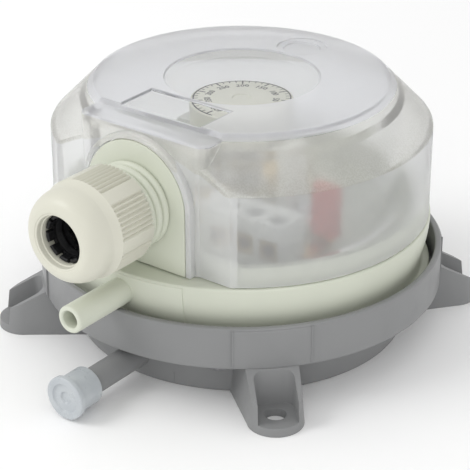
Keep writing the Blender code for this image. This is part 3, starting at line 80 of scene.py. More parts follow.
# Lower housing
BASE_R = 38.35 * MM
BASE_WALL = 2.0 * MM
BASE_FLOOR = 2.2 * MM
COLLAR_R = 46.5 * MM
COLLAR_WALL = 1.5 * MM
COLLAR_Z = 10.3 * MM
COLLAR_FLOOR = 2.0 * MM
COLLAR_TOP = BASE_HIGH.z
COLLAR_LIP = 0.45 * MM
CUP_FOOT_ROUND = 0.6 * MM
CUP_NECK_ROUND = 0.8 * MM
SEAT_ROUND = 0.6 * MM
PANEL_STEP = 0.3 * MM
PANEL_RISE = 0.25 * MM
PANEL_ROUND = 0.4 * MM
PANEL_HALF_ANGLE = math.radians(10.5)
SEAM_WIDTH = 0.3 * MM
SEAM_PROUD = 0.12 * MM
SEAM_RISE = 0.6 * MM
SEAM_DROP = 0.3 * MM
CUP_SEAM_ANGLE = math.radians(-76)
CUP_SEAM_Z = (0.9 * MM, 3.0 * MM)
LUG_ANGLES = [math.radians(45 + 90 * k) for k in range(4)]
LUG_HOLE_U = 51.2 * MM
LUG_HOLE_R = 2.4 * MM
LUG_FLOOR = 2.0 * MM
LUG_TIP_R = 6.2 * MM
LUG_TOP_TIP_R = 5.3 * MM
LUG_ROOT_HALF = 7.9 * MM
LUG_TOP_ROOT_HALF = 6.6 * MM
LUG_POCKET_HALF = 4.4 * MM
LUG_POCKET_BACK = COLLAR_R + 0.4 * MM
LUG_POCKET_CORNER = 2.2 * MM
LUG_SLOPE_START = COLLAR_R - COLLAR_WALL / 5
LUG_SLOPE = math.radians(27.5)
LUG_EDGE = 0.3 * MM

# Nozzles
NOZZLE_END = -UPPER_LOW.y
NOZZLE_BORE_R = 1.75 * MM
NOZZLE_EDGE = 0.5 * MM
LOWER_NOZZLE_R = 3.0 * MM
LOWER_NOZZLE_Z = (CAP_LOW.z + CAP_HIGH.z) / 2
UPPER_NOZZLE_R = 3.1 * MM
UPPER_NOZZLE_Z = 23.2 * MM
UPPER_BORE_R = 1.95 * MM
BORE_CHAMFER = 0.5 * MM
BORE_PAST_END = 0.2 * MM

# Upper housing
CLAMP_R = 43.9 * MM
CLAMP_Z = UPPER_LOW.z
CLAMP_RIM = 1.9 * MM
UPPER_CHAMBER_R = 36.3 * MM
WAIST_R = 42.0 * MM
WAIST_Z = 18.0 * MM
LEDGE_R = 43.6 * MM
LEDGE_Z = COVER_LOW.z - 0.3 * MM
ROOF_Z = 24.0 * MM
FLOOR_Z = 26.0 * MM
RIM_R = 41.5 * MM
RIM_WALL = 1.7 * MM
RIM_TOP = 32.2 * MM
RIM_CHORD = 33.3 * MM
FRONT_PAD_HALF = 15.0 * MM
FRONT_PAD_STEP = 0.2 * MM
FRONT_PAD_DROP = 0.5 * MM
CLAMP_ROUND = 0.4 * MM
LEDGE_ROUND = 0.6 * MM
RIM_ROUND = 1.0 * MM
RIM_INNER_ROUND = 0.8 * MM
ARCH_R = 13.35 * MM
ARCH_FACE = 38.0 * MM
ARCH_RISE = 0.6 * MM
FOOT_GAP = 0.35 * MM
FOOT_GAP_DEPTH = 0.7 * MM
ARCH_PLATE = 2.6 * MM
ARCH_EDGE = 0.25 * MM
RIB = 2.0 * MM
RIB_X = 10.6 * MM
RIB_TOP = 48.6 * MM
GUIDE_R = 4.0 * MM
GUIDE_TOP = 29.0 * MM
BOSS_R = 3.0 * MM
BOSS_X = 18.3 * MM
PIN_HOLE_R = 1.8 * MM
BOSS_HOLE_R = 1.3 * MM
SUNK = BASE_WALL / 2                # how deep an added form reaches into the one that carries it

# Cable gland
GLAND_Z = (NUT_LOW.z + NUT_HIGH.z) / 2
NUT_R = (NUT_HIGH.x - NUT_LOW.x) / 2
NUT_START = -NUT_HIGH.y
NUT_END = -NUT_LOW.y
NUT_FRONT = NUT_END + 0.6 * MM
NUT_BAND = 54.6 * MM
NUT_BAND_END = 56.8 * MM
NUT_BAND_FALL = 0.6 * MM
NUT_FLUTE_DEPTH = 0.6 * MM
NUT_GROUPS = 6
NUT_FLUTES = 8
NUT_FLUTED = math.radians(45)
NUT_LIP_R = 6.7 * MM
NUT_MOUTH_R = 5.75 * MM
NUT_THROAT_R = 5.5 * MM
THREAD_R = 9.7 * MM
THREAD_DEPTH = 1.1 * MM
THREAD_PITCH = 2.2 * MM
THREAD_END = 46.4 * MM
THREAD_START = ARCH_FACE + 0.02 * MM
THREAD_RUN_IN = 0.25 * MM
THREAD_RUN_OUT = 0.6 * MM
THREAD_TURN = 0.25                  # where its ridge starts, as a share of a turn
THREAD_SHARPNESS = 2.15
CLAW_START = 51.0 * MM
CLAW_END = 57.2 * MM
CLAW_R = 8.0 * MM
CLAW_TIP_R = 7.3 * MM
CLAW_SLOT_HALF = 0.5 * MM
CLAW_SLOTS = 3                      # each cuts through both sides
CLAW_CHAMFER = 0.25 * MM
CLAW_TO_NUT = 0.6 * MM
NUT_TO_THREAD = 0.15 * MM
SEAL_R = (SEAL_HIGH.x - SEAL_LOW.x) / 2
SEAL_BORE_R = 4.1 * MM
SEAL_RIBS = 5
SEAL_RIB_DEPTH = 0.45 * MM
SEAL_FINGERS = 10
FINGER_TIP = NUT_FRONT - 2.0 * MM
FINGER_THICK = 0.9 * MM
FINGER_ROOT = 0.4 * MM
FINGER_TURN = 0.2
SEAL_GAP_HALF = 0.45 * MM
SEAL_START = -SEAL_HIGH.y
SEAL_END = -SEAL_LOW.y
CABLE_R = 5.2 * MM
GLAND_AXIS = Matrix.Translation((0, 0, GLAND_Z)) @ TO_FRONT

# Cap
CAP_WALL = 1.0 * MM
CAP_FLANGE = 1.3 * MM
CAP_FLARE = 0.45 * MM
CAP_FLARE_LENGTH = 0.4 * MM
CAP_DISH_R = 3.4 * MM
CAP_DISH_DEPTH = 0.45 * MM
CAP_DISH_SLANT = 0.25 * MM
CAP_DENT_R = 1.5 * MM
CAP_DENT_SLANT = 0.3 * MM

# Cover
COVER_WALL = 1.8 * MM
COVER_TOP = COVER_HIGH.z
COVER_TOP_R = 33.3 * MM
COVER_SHOULDER_R = 43.2 * MM
COVER_SHOULDER_Z = 49.2 * MM
COVER_LEAN = 0.05 * MM
COVER_FLAT = 36.0 * MM
COVER_EDGE = 0.7 * MM
COVER_INNER_EDGE = 0.6 * MM
CONE_FALL = math.atan2(COVER_TOP - COVER_SHOULDER_Z, COVER_SHOULDER_R - COVER_TOP_R)
HOOD_HALF = 17.5 * MM
HOOD_PROUD = 0.3 * MM
HOOD_CORNER = 1.8 * MM
HOOD_TOP = 58.3 * MM
HOOD_STEP = 28.9 * MM
HOOD_STEP_SLANT = 0.9 * MM
HOOD_EDGE = 0.7 * MM
HOOD_OVERRUN = 5 * MM               # drawn below the foot, then cut off level
BEAD_WIDTH = 1.2 * MM
BEAD_PROUD = 1.6 * MM
BEAD_EDGE = 0.35 * MM
SKIRT_R = 35.8 * MM
SKIRT_WALL = 1.3 * MM
SKIRT_LOW = 29.5 * MM
SKIRT_TO_RIM = 0.6 * MM
WINDOW_R = 17.4 * MM
WINDOW_SLANT = 0.6 * MM
WINDOW_ROUND = 0.15 * MM
WINDOW_STEP = 0.35 * MM
BOX_WINDOW_HALF = 10.7 * MM
BOX_WINDOW_BACK = 18.7 * MM
DIMPLE_Y = 23.3 * MM
DIMPLE_R = 4.2 * MM
DIMPLE_RING_R = 5.8 * MM
DIMPLE_DEPTH = 0.7 * MM

# How much light the zones of the cover's plastic scatter, from 0 to 1, and how rough they are
HAZE_LID = 0.36
HAZE_CONE = 0.34
HAZE_WALL = 0.25
HAZE_HOOD = 0.42
HAZE_LEAST = 0.01
ROUGH_LID = 0.32
ROUGH_CONE = 0.34
ROUGH_WALL = 0.32
ROUGH_LEAST = 0.03

# Depths under the cover's outside at which a zone starts and is full
ZONE_START = 0.8 * MM
ZONE_FULL = 0.5 * MM
FRONT_ZONE_START = 1.1 * MM
FRONT_ZONE_FULL = 0.8 * MM
LID_FULL = 0.3 * MM
WINDOW_FADE = 0.3 * MM
LINE_FADE = 0.1 * MM
SPECKS_FALL = 7 * MM

TINT_WALL = (0.965, 0.97, 0.972)
TINT_LID = (0.86, 0.865, 0.895)
TINT_CONE = (0.92, 0.915, 0.88)
TINT_SPECK = (0.80, 0.795, 0.75)
# Painted shade along the box window's sloped edge
TINT_EDGE_SHADE = (0.58, 0.585, 0.62)
TINT_WINDOW = (0.975, 0.977, 0.99)

# Dial
DIAL_R = 12.0 * MM
DIAL_TOP = DIAL_HIGH.z
DIAL_PLATE = 2.0 * MM
DIAL_WALL = 1.4 * MM
DIAL_HUB_R = 5.4 * MM
DIAL_HUB_BORE_R = 3.5 * MM
DIAL_RISE = 0.7 * MM
DIAL_DENT_R = 2.2 * MM
DIAL_DENT_DEPTH = 0.3 * MM
SCALE_START = math.radians(24)
SCALE_SWEEP = math.radians(238)
SCALE_OVER = math.radians(9)
SCALE_TICKS = 28
SCALE_LONG = 4
SCALE_STEP = 50
SCALE_R = 11.4 * MM
SCALE_LINE = 0.3 * MM
TICK_LENGTH = 1.2 * MM
TICK_HALF = 0.1 * MM
LONG_TICK_LENGTH = 2.2 * MM
LONG_TICK_HALF = 0.17 * MM
NUMBER_SIZE = 2.1 * MM
NUMBER_BOLD = 0.03 * MM
NUMBER_INSET = 3.5 * MM
PRINT_SUNK = 0.01 * MM
PRINT_PROUD = 0.03 * MM

# Spring
SPRING_WIRE_R = 0.3 * MM
SPRING_TURNS = 5
SPRING_CLOSE = 2.4 * SPRING_WIRE_R  # rise of the first and the last turn
SPRING_RINGS = 160
SPRING_SIDES = 12

# Room, light and camera
FLOOR_HALF = 4.0
WORLD_STRENGTH = 0.85
LIGHT_TARGET = (0, 0, 0.02)
KEY = {"place": (-0.5, -0.55, 0.7), "size": 0.55, "power": 2.9}
FILL = {"place": (0.45, -0.55, 0.4), "size": 0.6, "power": 0.6}
CAMERA_PLACE = (0.2192, -0.2926, 0.2002)
CAMERA_TARGET = (-0.00126, -0.00095, 0.01937)
CAMERA_LENS = 133.35
CAMERA_SENSOR = 36
CAMERA_CLIP = 0.01

# Steps around turned forms
FINE = 176
BROAD = 128
THREADED = 120
MEDIUM = 96
DISHED = 64
SMALL = 48
HOLE = 40
BOSS = 32
NARROW = 24
PANEL = 12


# Shapes

def rounded(points, steps=5):
    """Replace each corner of an outline of (x, y, radius) points by an arc of that radius."""
    count = len(points)
    result = []
    for k, (x, y, radius) in enumerate(points):
        corner = Vector((x, y))
        if radius <= 0:
            result.append((x, y))
            continue
        to_last = Vector(points[k - 1][:2]) - corner
        to_next = Vector(points[(k + 1) % count][:2]) - corner
        reach = 0.49 * min(to_last.length, to_next.length)
        to_last.normalize()
        to_next.normalize()
        half = to_last.angle(to_next) / 2
        reach = min(reach, radius / math.tan(half))
        radius = reach * math.tan(half)
        middle = corner + (to_last + to_next).normalized() * (radius / math.sin(half))
        first = corner + to_last * reach - middle
        last = corner + to_next * reach - middle
        sweep = first.angle_signed(last)
        for step in range(steps + 1):
            spoke = first.copy()
            spoke.rotate(Matrix.Rotation(-sweep * step / steps, 2))
            result.append(tuple(middle + spoke))
    return result


def arc(centre, radius, start, end, steps):
    points = []
    for k in range(steps + 1):
        angle = start + (end - start) * k / steps
        points.append((centre[0] + radius * math.cos(angle), centre[1] + radius * math.sin(angle)))
    return points


def finished(form, name):
    bmesh.ops.recalc_face_normals(form, faces=form.faces)
    mesh = bpy.data.meshes.new(name)
    form.to_mesh(mesh)
    form.free()
    return mesh


def turned(profile, steps=FINE, start=0.0, sweep=2 * math.pi, name="turned"):
    """Spin (radius, height) points about Z. Points with no radius close the form on the axis."""
    full = abs(sweep - 2 * math.pi) < NONE
    turns = steps if full else steps + 1
    form = bmesh.new()
    columns = []
    for radius, height in profile:
        if radius < NONE:
            columns.append([form.verts.new((0, 0, height))] * turns)
            continue
        column = []
        for k in range(turns):
            angle = start + sweep * k / steps
            column.append(form.verts.new((radius * math.cos(angle), radius * math.sin(angle), height)))
        columns.append(column)
    pairs = list(zip(columns, columns[1:]))
    if profile[0][0] > NONE or profile[-1][0] > NONE:
        pairs.append((columns[-1], columns[0]))
    for one, other in pairs:
        for k in range(steps):
            after = (k + 1) % turns
            corners = []
            for vert in (one[k], one[after], other[after], other[k]):
                if vert not in corners:
                    corners.append(vert)
            if len(corners) > 2:
                form.faces.new(corners)
    if not full:
        form.faces.new([column[0] for column in columns])
        form.faces.new([column[-1] for column in reversed(columns)])
    return finished(form, name)


def prism(outline, low, high, edge=0.0):
    """Extrude an outline in X and Y. An edge width rounds the rims of both ends and sharp corners."""
    form = bmesh.new()
    face = form.faces.new([form.verts.new((x, y, low)) for x, y in outline])
    grown = bmesh.ops.extrude_face_region(form, geom=[face])
    raised = [item for item in grown["geom"] if isinstance(item, bmesh.types.BMVert)]
    bmesh.ops.translate(form, verts=raised, vec=(0, 0, high - low))
    bmesh.ops.recalc_face_normals(form, faces=form.faces)
    if edge > 0:
        sharp = [item for item in form.edges if item.calc_face_angle(0.0) > math.radians(30)]
        bmesh.ops.bevel(form, geom=sharp, offset=edge, segments=3, profile=0.5, affect="EDGES")
    return finished(form, "prism")


def bridge(form, one, other):
    """Join two rings of as many points by a band of faces."""
    for k in range(len(one)):
        after = (k + 1) % len(one)
        form.faces.new((one[k], one[after], other[after], other[k]))


def loft(low_outline, low, high_outline, high):
    """A solid between two level outlines of as many points."""
    form = bmesh.new()
    lower = [form.verts.new((x, y, low)) for x, y in low_outline]
    upper = [form.verts.new((x, y, high)) for x, y in high_outline]
    form.faces.new(list(reversed(lower)))
    form.faces.new(upper)
    bridge(form, lower, upper)
    return finished(form, "loft")


def box_outline(x_low, x_high, y_low, y_high):
    return [(x_low, y_low), (x_high, y_low), (x_high, y_high), (x_low, y_high)]


def block(x_range, y_range, z_range, edge=0.0):
    return prism(box_outline(*x_range, *y_range), *z_range, edge=edge)


def rod(radius, low, high, steps=SMALL):
    return turned([(0, low), (radius, low), (radius, high), (0, high)], steps)


def tube(rows, columns, place):
    """A form of rows by columns points, closed around, with open ends, and its rings of points."""
    form = bmesh.new()
    rings = [[form.verts.new(place(row, column)) for column in range(columns)] for row in range(rows)]
    for one, other in zip(rings, rings[1:]):
        bridge(form, one, other)
    return form, rings


def moved(mesh, matrix):
    mesh.transform(matrix)
    return mesh


def at(x=0.0, y=0.0, z=0.0):
    return Matrix.Translation((x, y, z))


def placed(name, data):
    """A new object in the scene."""
    item = bpy.data.objects.new(name, data)
    bpy.context.scene.collection.objects.link(item)
    return item


def evaluated(holder):
    """The mesh that an object has with its modifiers or its letters worked out."""
    graph = bpy.context.evaluated_depsgraph_get()
    return bpy.data.meshes.new_from_object(holder.evaluated_get(graph))


def shape(start, *steps, name="shape"):
    """Apply Boolean steps, each an operation and a mesh, and give back one mesh."""
    holder = placed("holder", start)
    tools = []
    for operation, mesh in steps:
        tool = placed("tool", mesh)
        tools.append(tool)
        modifier = holder.modifiers.new(operation, "BOOLEAN")
        modifier.operation = operation
        modifier.solver = "EXACT"
        modifier.object = tool
    result = evaluated(holder)
    for item in tools + [holder]:
        bpy.data.objects.remove(item, do_unlink=True)
    result.name = name
    return result


def softened(mesh, width):
    """Round every sharp edge."""
    form = bmesh.new()
    form.from_mesh(mesh)
    bmesh.ops.remove_doubles(form, verts=form.verts, dist=1e-6)
    bmesh.ops.dissolve_limit(form, angle_limit=math.radians(0.5), verts=form.verts, edges=form.edges)
    sharp = [edge for edge in form.edges if edge.calc_face_angle(0.0) > math.radians(32)]
    bmesh.ops.bevel(form, geom=sharp, offset=width, segments=3, profile=0.5,
                    affect="EDGES", clamp_overlap=True)
    return finished(form, mesh.name)


def add(name, mesh, material, body, stands_for, sharp=35):
    """Put a piece in the scene: it rides a body and may stand for a node of the frame."""
    mesh.materials.clear()
    mesh.materials.append(material)
    mesh.shade_smooth()
    mesh.set_sharp_from_angle(angle=math.radians(sharp))
    piece = placed(name, mesh)
    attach(piece, body)
    if stands_for:
        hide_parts(stands_for)
    return piece


# Materials

class Nodes:
    """Short names for building a material's node tree."""

    def __init__(self, name):
        self.material = bpy.data.materials.new(name)
        self.material.use_nodes = True
        self.tree = self.material.node_tree
        self.shader = self.tree.nodes["Principled BSDF"]
        self.place = self.tree.nodes.new("ShaderNodeTexCoord").outputs["Object"]

    def link(self, start, node, socket):
        self.tree.links.new(start, node.inputs[socket])

    def noise(self, scale, detail=2.0, roughness=0.5, stretch=None):
        node = self.tree.nodes.new("ShaderNodeTexNoise")
        node.inputs["Scale"].default_value = scale
        node.inputs["Detail"].default_value = detail
        node.inputs["Roughness"].default_value = roughness
        where = self.place
        if stretch:
            mapping = self.tree.nodes.new("ShaderNodeMapping")
            mapping.inputs["Scale"].default_value = stretch
            self.link(where, mapping, "Vector")
            where = mapping.outputs["Vector"]
        self.link(where, node, "Vector")
        return node.outputs["Fac"]

    def ramp(self, source, low, high, low_value, high_value):
        node = self.tree.nodes.new("ShaderNodeMapRange")
        node.interpolation_type = "SMOOTHSTEP"
        values = {"From Min": low, "From Max": high, "To Min": low_value, "To Max": high_value}
        for socket, value in values.items():
            node.inputs[socket].default_value = value
        self.link(source, node, "Value")
        return node.outputs["Result"]

    def rise(self, source, low, high):
        return self.ramp(source, low, high, 0.0, 1.0)

    def fall(self, source, low, high):
        return self.ramp(source, low, high, 1.0, 0.0)

    def mix(self, factor, first, second):
        node = self.tree.nodes.new("ShaderNodeMix")
        node.data_type = "RGBA"
        self.link(factor, node, "Factor")
        for index, colour in ((6, first), (7, second)):
            if isinstance(colour, tuple):
                node.inputs[index].default_value = (*colour, 1.0)
            else:
                self.tree.links.new(colour, node.inputs[index])
        return node.outputs[2]

    def maths(self, operation, first, second=0.0):
        node = self.tree.nodes.new("ShaderNodeMath")
        node.operation = operation
        for index, value in enumerate((first, second)):
            if isinstance(value, (int, float)):
                node.inputs[index].default_value = value
            else:
                self.tree.links.new(value, node.inputs[index])
        return node.outputs[0]

    def most(self, *values):
        result = values[0]
        for value in values[1:]:
            result = self.maths("MAXIMUM", result, value)
        return result

    def times(self, first, second):
        return self.maths("MULTIPLY", first, second)

    def minus(self, first, second):
        return self.maths("SUBTRACT", first, second)

    def parts(self):
        """X, Y and Z of the object's own coordinates."""
        node = self.tree.nodes.new("ShaderNodeSeparateXYZ")
        self.link(self.place, node, "Vector")
        return node.outputs

    def bump(self, height, distance):
        node = self.tree.nodes.new("ShaderNodeBump")
        node.inputs["Distance"].default_value = distance
        node.inputs["Strength"].default_value = 1.0
        self.link(height, node, "Height")
        return node.outputs["Normal"]

    def set(self, **values):
        for name, value in values.items():
            socket = self.shader.inputs[name.replace("_", " ")]
            if isinstance(value, (int, float)):
                socket.default_value = value
            elif isinstance(value, tuple):
                socket.default_value = (*value, 1.0)
            else:
                self.tree.links.new(value, socket)
        return self.material


def moulded(name, colour, variation, roughness, grain, scale):
    """Injection-moulded plastic: spark-eroded grain, faint flow clouds, uneven gloss."""
    n = Nodes(name)
    dark = tuple(c * (1 - variation) for c in colour)
    light = tuple(min(1.0, c * (1 + variation)) for c in colour)
    clouds = n.rise(n.noise(45, 3), 0.35, 0.65)
    fine = n.noise(scale, 3, 0.6)
    gloss = n.ramp(n.noise(160, 4), 0.3, 0.7, *roughness)
    return n.set(Base_Color=n.mix(clouds, dark, light), Roughness=gloss, Normal=n.bump(fine, grain),
                 Specular_IOR_Level=0.42)


def metal(name, colour, roughness, stretch):
    """Drawn or turned metal with fine lines along one axis."""
    n = Nodes(name)
    lines = n.noise(900, 4, 0.6, stretch)
    tone = n.rise(n.noise(260, 3), 0.3, 0.7)
    dark = tuple(c * 0.82 for c in colour)
    return n.set(Base_Color=n.mix(tone, dark, colour), Metallic=1.0,
                 Roughness=n.ramp(lines, 0.3, 0.7, roughness * 0.8, roughness * 1.3),
                 Normal=n.bump(lines, 0.01 * MM))


def clear_plastic():
    """Clear moulded plastic: polished windows, a hazy lid, a stippled cone and walls that blur."""
    n = Nodes("clear_cover")
    x, y, z = n.parts()
    radius = n.maths("SQRT", n.maths("ADD", n.times(x, x), n.times(y, y)))
    slope = n.maths("ADD", n.times(radius, math.sin(CONE_FALL)), n.times(z, math.cos(CONE_FALL)))
    cone_at = COVER_TOP_R * math.sin(CONE_FALL) + COVER_TOP * math.cos(CONE_FALL)

    def box_mask(grow):
        half = BOX_WINDOW_HALF + grow
        back = grow - BOX_WINDOW_BACK
        return n.times(n.fall(n.maths("ABSOLUTE", x), half - LINE_FADE, half),
                       n.fall(y, back, back + LINE_FADE))

    # Zones of the outside
    lid = n.rise(z, HOOD_TOP - ZONE_FULL, HOOD_TOP - LID_FULL)
    side = n.rise(radius, COVER_SHOULDER_R - ZONE_START, COVER_SHOULDER_R - ZONE_FULL)
    front = n.fall(y, FRONT_ZONE_FULL - COVER_FLAT, FRONT_ZONE_START - COVER_FLAT)
    above = n.rise(z, COVER_SHOULDER_Z - WINDOW_FADE, COVER_SHOULDER_Z)
    cone = n.times(n.rise(slope, cone_at - ZONE_START, cone_at - ZONE_FULL),
                   n.times(n.minus(1.0, lid), above))
    behind_step = n.rise(y, LINE_FADE - HOOD_STEP, WINDOW_FADE - HOOD_STEP)
    box = n.times(box_mask(0.0), behind_step)
    window = n.times(lid, n.most(n.fall(radius, WINDOW_R - WINDOW_FADE, WINDOW_R), box))
    hazy = n.minus(lid, window)
    # A band along the box window's sloped edge that gets painted shade
    line = n.times(n.minus(n.times(box_mask(2 * WINDOW_STEP), behind_step), box), hazy)

    haze = n.most(n.times(hazy, HAZE_LID), n.times(cone, HAZE_CONE),
                  n.most(n.times(side, HAZE_WALL), HAZE_LEAST), n.times(front, HAZE_HOOD))
    blur = n.most(n.times(hazy, ROUGH_LID), n.times(cone, ROUGH_CONE),
                  n.times(n.most(side, front), ROUGH_WALL))
    blur = n.times(blur, n.ramp(n.noise(500, 3, 0.5), 0.3, 0.7, 0.92, 1.08))
    specks = n.times(n.rise(n.noise(2800, 2, 0.6), 0.40, 0.60),
                     n.ramp(z, COVER_SHOULDER_Z, COVER_SHOULDER_Z + SPECKS_FALL, 1.0, 0.25))
    colour = n.mix(lid, TINT_WALL, TINT_LID)
    colour = n.mix(cone, colour, n.mix(specks, TINT_CONE, TINT_SPECK))
    # Painted shade on the band along the box window's edge
    colour = n.mix(line, colour, TINT_EDGE_SHADE)
    colour = n.mix(window, colour, TINT_WINDOW)
    stipple = n.times(n.noise(1900, 2, 0.6), cone)
    return n.set(Base_Color=colour, Roughness=n.maths("ADD", blur, ROUGH_LEAST), IOR=1.16,
                 Transmission_Weight=n.minus(1.0, haze), Coat_Weight=0.2, Coat_Roughness=0.08,
                 Normal=n.bump(stipple, 0.02 * MM))


def milky_plastic():
    """Soft translucent plastic with faint clouds."""
    n = Nodes("milky_cap")
    clouds = n.rise(n.noise(220, 3), 0.3, 0.7)
    return n.set(Base_Color=n.mix(clouds, (0.45, 0.48, 0.505), (0.50, 0.53, 0.55)),
                 Roughness=n.ramp(n.noise(400, 3), 0.3, 0.7, 0.26, 0.34), IOR=1.45,
                 Coat_Weight=0.2, Coat_Roughness=0.15,
                 Normal=n.bump(n.noise(300, 2), 0.004 * MM))


def rubber():
    """Black rubber with a dull, speckled skin."""
    n = Nodes("black_rubber")
    speck = n.noise(1800, 4, 0.6)
    colour = n.mix(n.rise(speck, 0.4, 0.7), (0.006, 0.006, 0.007), (0.02, 0.02, 0.022))
    return n.set(Base_Color=colour, Roughness=n.ramp(speck, 0.3, 0.7, 0.4, 0.6),
                 Specular_IOR_Level=0.3, Normal=n.bump(speck, 0.02 * MM))


# Colour, its variation, range of roughness, depth of the grain in mm, scale of the grain
MOULDED = {
    "grey_housing": ((0.245, 0.248, 0.25), 0.035, (0.36, 0.48), 0.02, 2600),
    "pale_housing": ((0.63, 0.655, 0.555), 0.025, (0.34, 0.46), 0.015, 2400),
    "ivory_nut": ((0.65, 0.642, 0.55), 0.02, (0.34, 0.46), 0.018, 2400),
    "cream_dial": ((0.80, 0.80, 0.70), 0.02, (0.32, 0.42), 0.01, 2000),
    "white_block": ((0.80, 0.81, 0.77), 0.03, (0.36, 0.5), 0.015, 2200),
    "red_sleeve": ((0.62, 0.085, 0.05), 0.10, (0.4, 0.55), 0.02, 1800),
    "silicone": ((0.72, 0.50, 0.37), 0.05, (0.45, 0.6), 0.01, 1500),
    "dial_print": ((0.05, 0.05, 0.055), 0.15, (0.45, 0.6), 0.005, 3000),
}

# Colour, roughness, stretch of the lines
METALS = {
    "brass": ((0.78, 0.57, 0.26), 0.3, (1, 0.06, 1)),
    "zinc_steel": ((0.70, 0.71, 0.72), 0.32, (1, 1, 0.1)),
    "spring_steel": ((0.56, 0.57, 0.58), 0.28, (1, 1, 0.3)),
    "aluminium": ((0.80, 0.81, 0.83), 0.36, (0.2, 1, 1)),
    "screw_head": ((0.30, 0.30, 0.31), 0.6, (1, 1, 1)),
    "silver_contact": ((0.88, 0.87, 0.84), 0.22, (1, 1, 1)),
}

MATERIALS = {"clear_cover": clear_plastic(), "milky_cap": milky_plastic(), "black_rubber": rubber()}
for title, (colour, variation, roughness, grain, scale) in MOULDED.items():
    MATERIALS[title] = moulded(title, colour, variation, roughness, grain * MM, scale)
for title, finish in METALS.items():
    MATERIALS[title] = metal(title, *finish)


def dress_nodes():
    """Give every CAD node the finish of its material slot."""
    slots = {entry["node"]: entry["material_slot"] for entry in frame["record"]["subparts"]}
    for name, node in frame["nodes"].items():
        node.data.materials.clear()
        finish = "screw_head" if name.startswith("housing_screw") else slots[name]
        node.data.materials.append(MATERIALS[finish])


# Lower housing

def lug_outline(root_half, tip_r):
    tip = arc((LUG_HOLE_U, 0.0), tip_r, -math.pi / 2, math.pi / 2, 20)
    root = BASE_R - SUNK
    return [(root, -root_half)] + tip + [(root, root_half)]


def lug():
    """A fixing lug along +X: side walls that slope down beside an open pocket with a hole."""
    top = COLLAR_Z + COLLAR_FLOOR / 3
    body = loft(lug_outline(LUG_ROOT_HALF, LUG_TIP_R), 0.0,
                lug_outline(LUG_TOP_ROOT_HALF, LUG_TOP_TIP_R), top)
    far = LUG_HOLE_U + 2 * LUG_TIP_R
    outline = rounded([(far, LUG_POCKET_HALF, 0), (LUG_POCKET_BACK, LUG_POCKET_HALF, LUG_POCKET_CORNER),
                       (LUG_POCKET_BACK, -LUG_POCKET_HALF, LUG_POCKET_CORNER),
                       (far, -LUG_POCKET_HALF, 0)], 8)
    pocket = prism(outline, LUG_FLOOR, 2 * top)
    fall = (far - LUG_SLOPE_START) * math.tan(LUG_SLOPE)
    slope = [(LUG_SLOPE_START, 2 * top), (LUG_SLOPE_START, top - LUG_EDGE / 3),
             (far, top - fall), (far, 2 * top)]
    width = 2 * LUG_ROOT_HALF
    slope = moved(prism(slope, -width, width), TO_FRONT)
    hole = moved(rod(LUG_HOLE_R, -LUG_FLOOR, 2 * LUG_FLOOR, HOLE), at(LUG_HOLE_U))
    result = shape(body, ("DIFFERENCE", pocket), ("DIFFERENCE", slope), ("DIFFERENCE", hole))
    return softened(result, LUG_EDGE)


def seam_mesh(radius, low, high, angle):
    """The fine upright line that a joint between mould parts leaves on the wall."""
    half = SEAM_WIDTH / radius / 2
    inner = radius - COLLAR_WALL / 2
    outline = [(inner, low), (radius, low), (radius, high), (inner, high)]
    return turned(outline, 2, angle - half, 2 * half)


def build_lower_housing():
    inner_r = COLLAR_R - COLLAR_WALL
    chamber_r = BASE_R - BASE_WALL
    seat = COLLAR_Z + COLLAR_FLOOR
    profile = rounded([(0, 0, 0), (BASE_R, 0, CUP_FOOT_ROUND), (BASE_R, COLLAR_Z, CUP_NECK_ROUND),
                       (COLLAR_R, COLLAR_Z, BROAD_ROUND), (COLLAR_R, COLLAR_TOP, COLLAR_LIP),
                       (inner_r, COLLAR_TOP, COLLAR_LIP), (inner_r, seat, SEAT_ROUND),
                       (chamber_r, seat, ROUND), (chamber_r, BASE_FLOOR, WIDE_ROUND),
                       (0, BASE_FLOOR, 0)])
    root = inner_r + COLLAR_WALL / 2
    face = COLLAR_R + PANEL_STEP
    panel_low = COLLAR_Z + PANEL_RISE
    panel_high = COLLAR_TOP - COLLAR_LIP
    panel = rounded([(root, panel_low, 0), (face, panel_low, PANEL_ROUND),
                     (face, panel_high, PANEL_ROUND), (root, panel_high, 0)], 4)
    steps = []
    one_lug = lug()
    for angle in LUG_ANGLES:
        turn = Matrix.Rotation(angle, 4, "Z")
        steps.append(("UNION", moved(one_lug.copy(), turn)))
        steps.append(("UNION", turned(panel, PANEL, angle - PANEL_HALF_ANGLE, 2 * PANEL_HALF_ANGLE)))
        for side in (-1, 1):
            seam = (face + SEAM_PROUD, COLLAR_Z + SEAM_RISE, COLLAR_TOP - SEAM_DROP)
            steps.append(("UNION", seam_mesh(*seam, angle + side * PANEL_HALF_ANGLE)))
    steps.append(("UNION", seam_mesh(BASE_R + SEAM_PROUD, *CUP_SEAM_Z, CUP_SEAM_ANGLE)))
    steps += nozzle_steps(LOWER_NOZZLE_R, LOWER_NOZZLE_Z, chamber_r, NOZZLE_BORE_R)
    saddle = moved(rod(UPPER_NOZZLE_R + FIT, BASE_R, NOZZLE_END), at(z=UPPER_NOZZLE_Z) @ TO_FRONT)
    steps.append(("DIFFERENCE", saddle))
    mesh = shape(turned(profile), *steps, name="base_shell")
    return add("base_shell", mesh, MATERIALS["grey_housing"], "housing", "lower_housing")


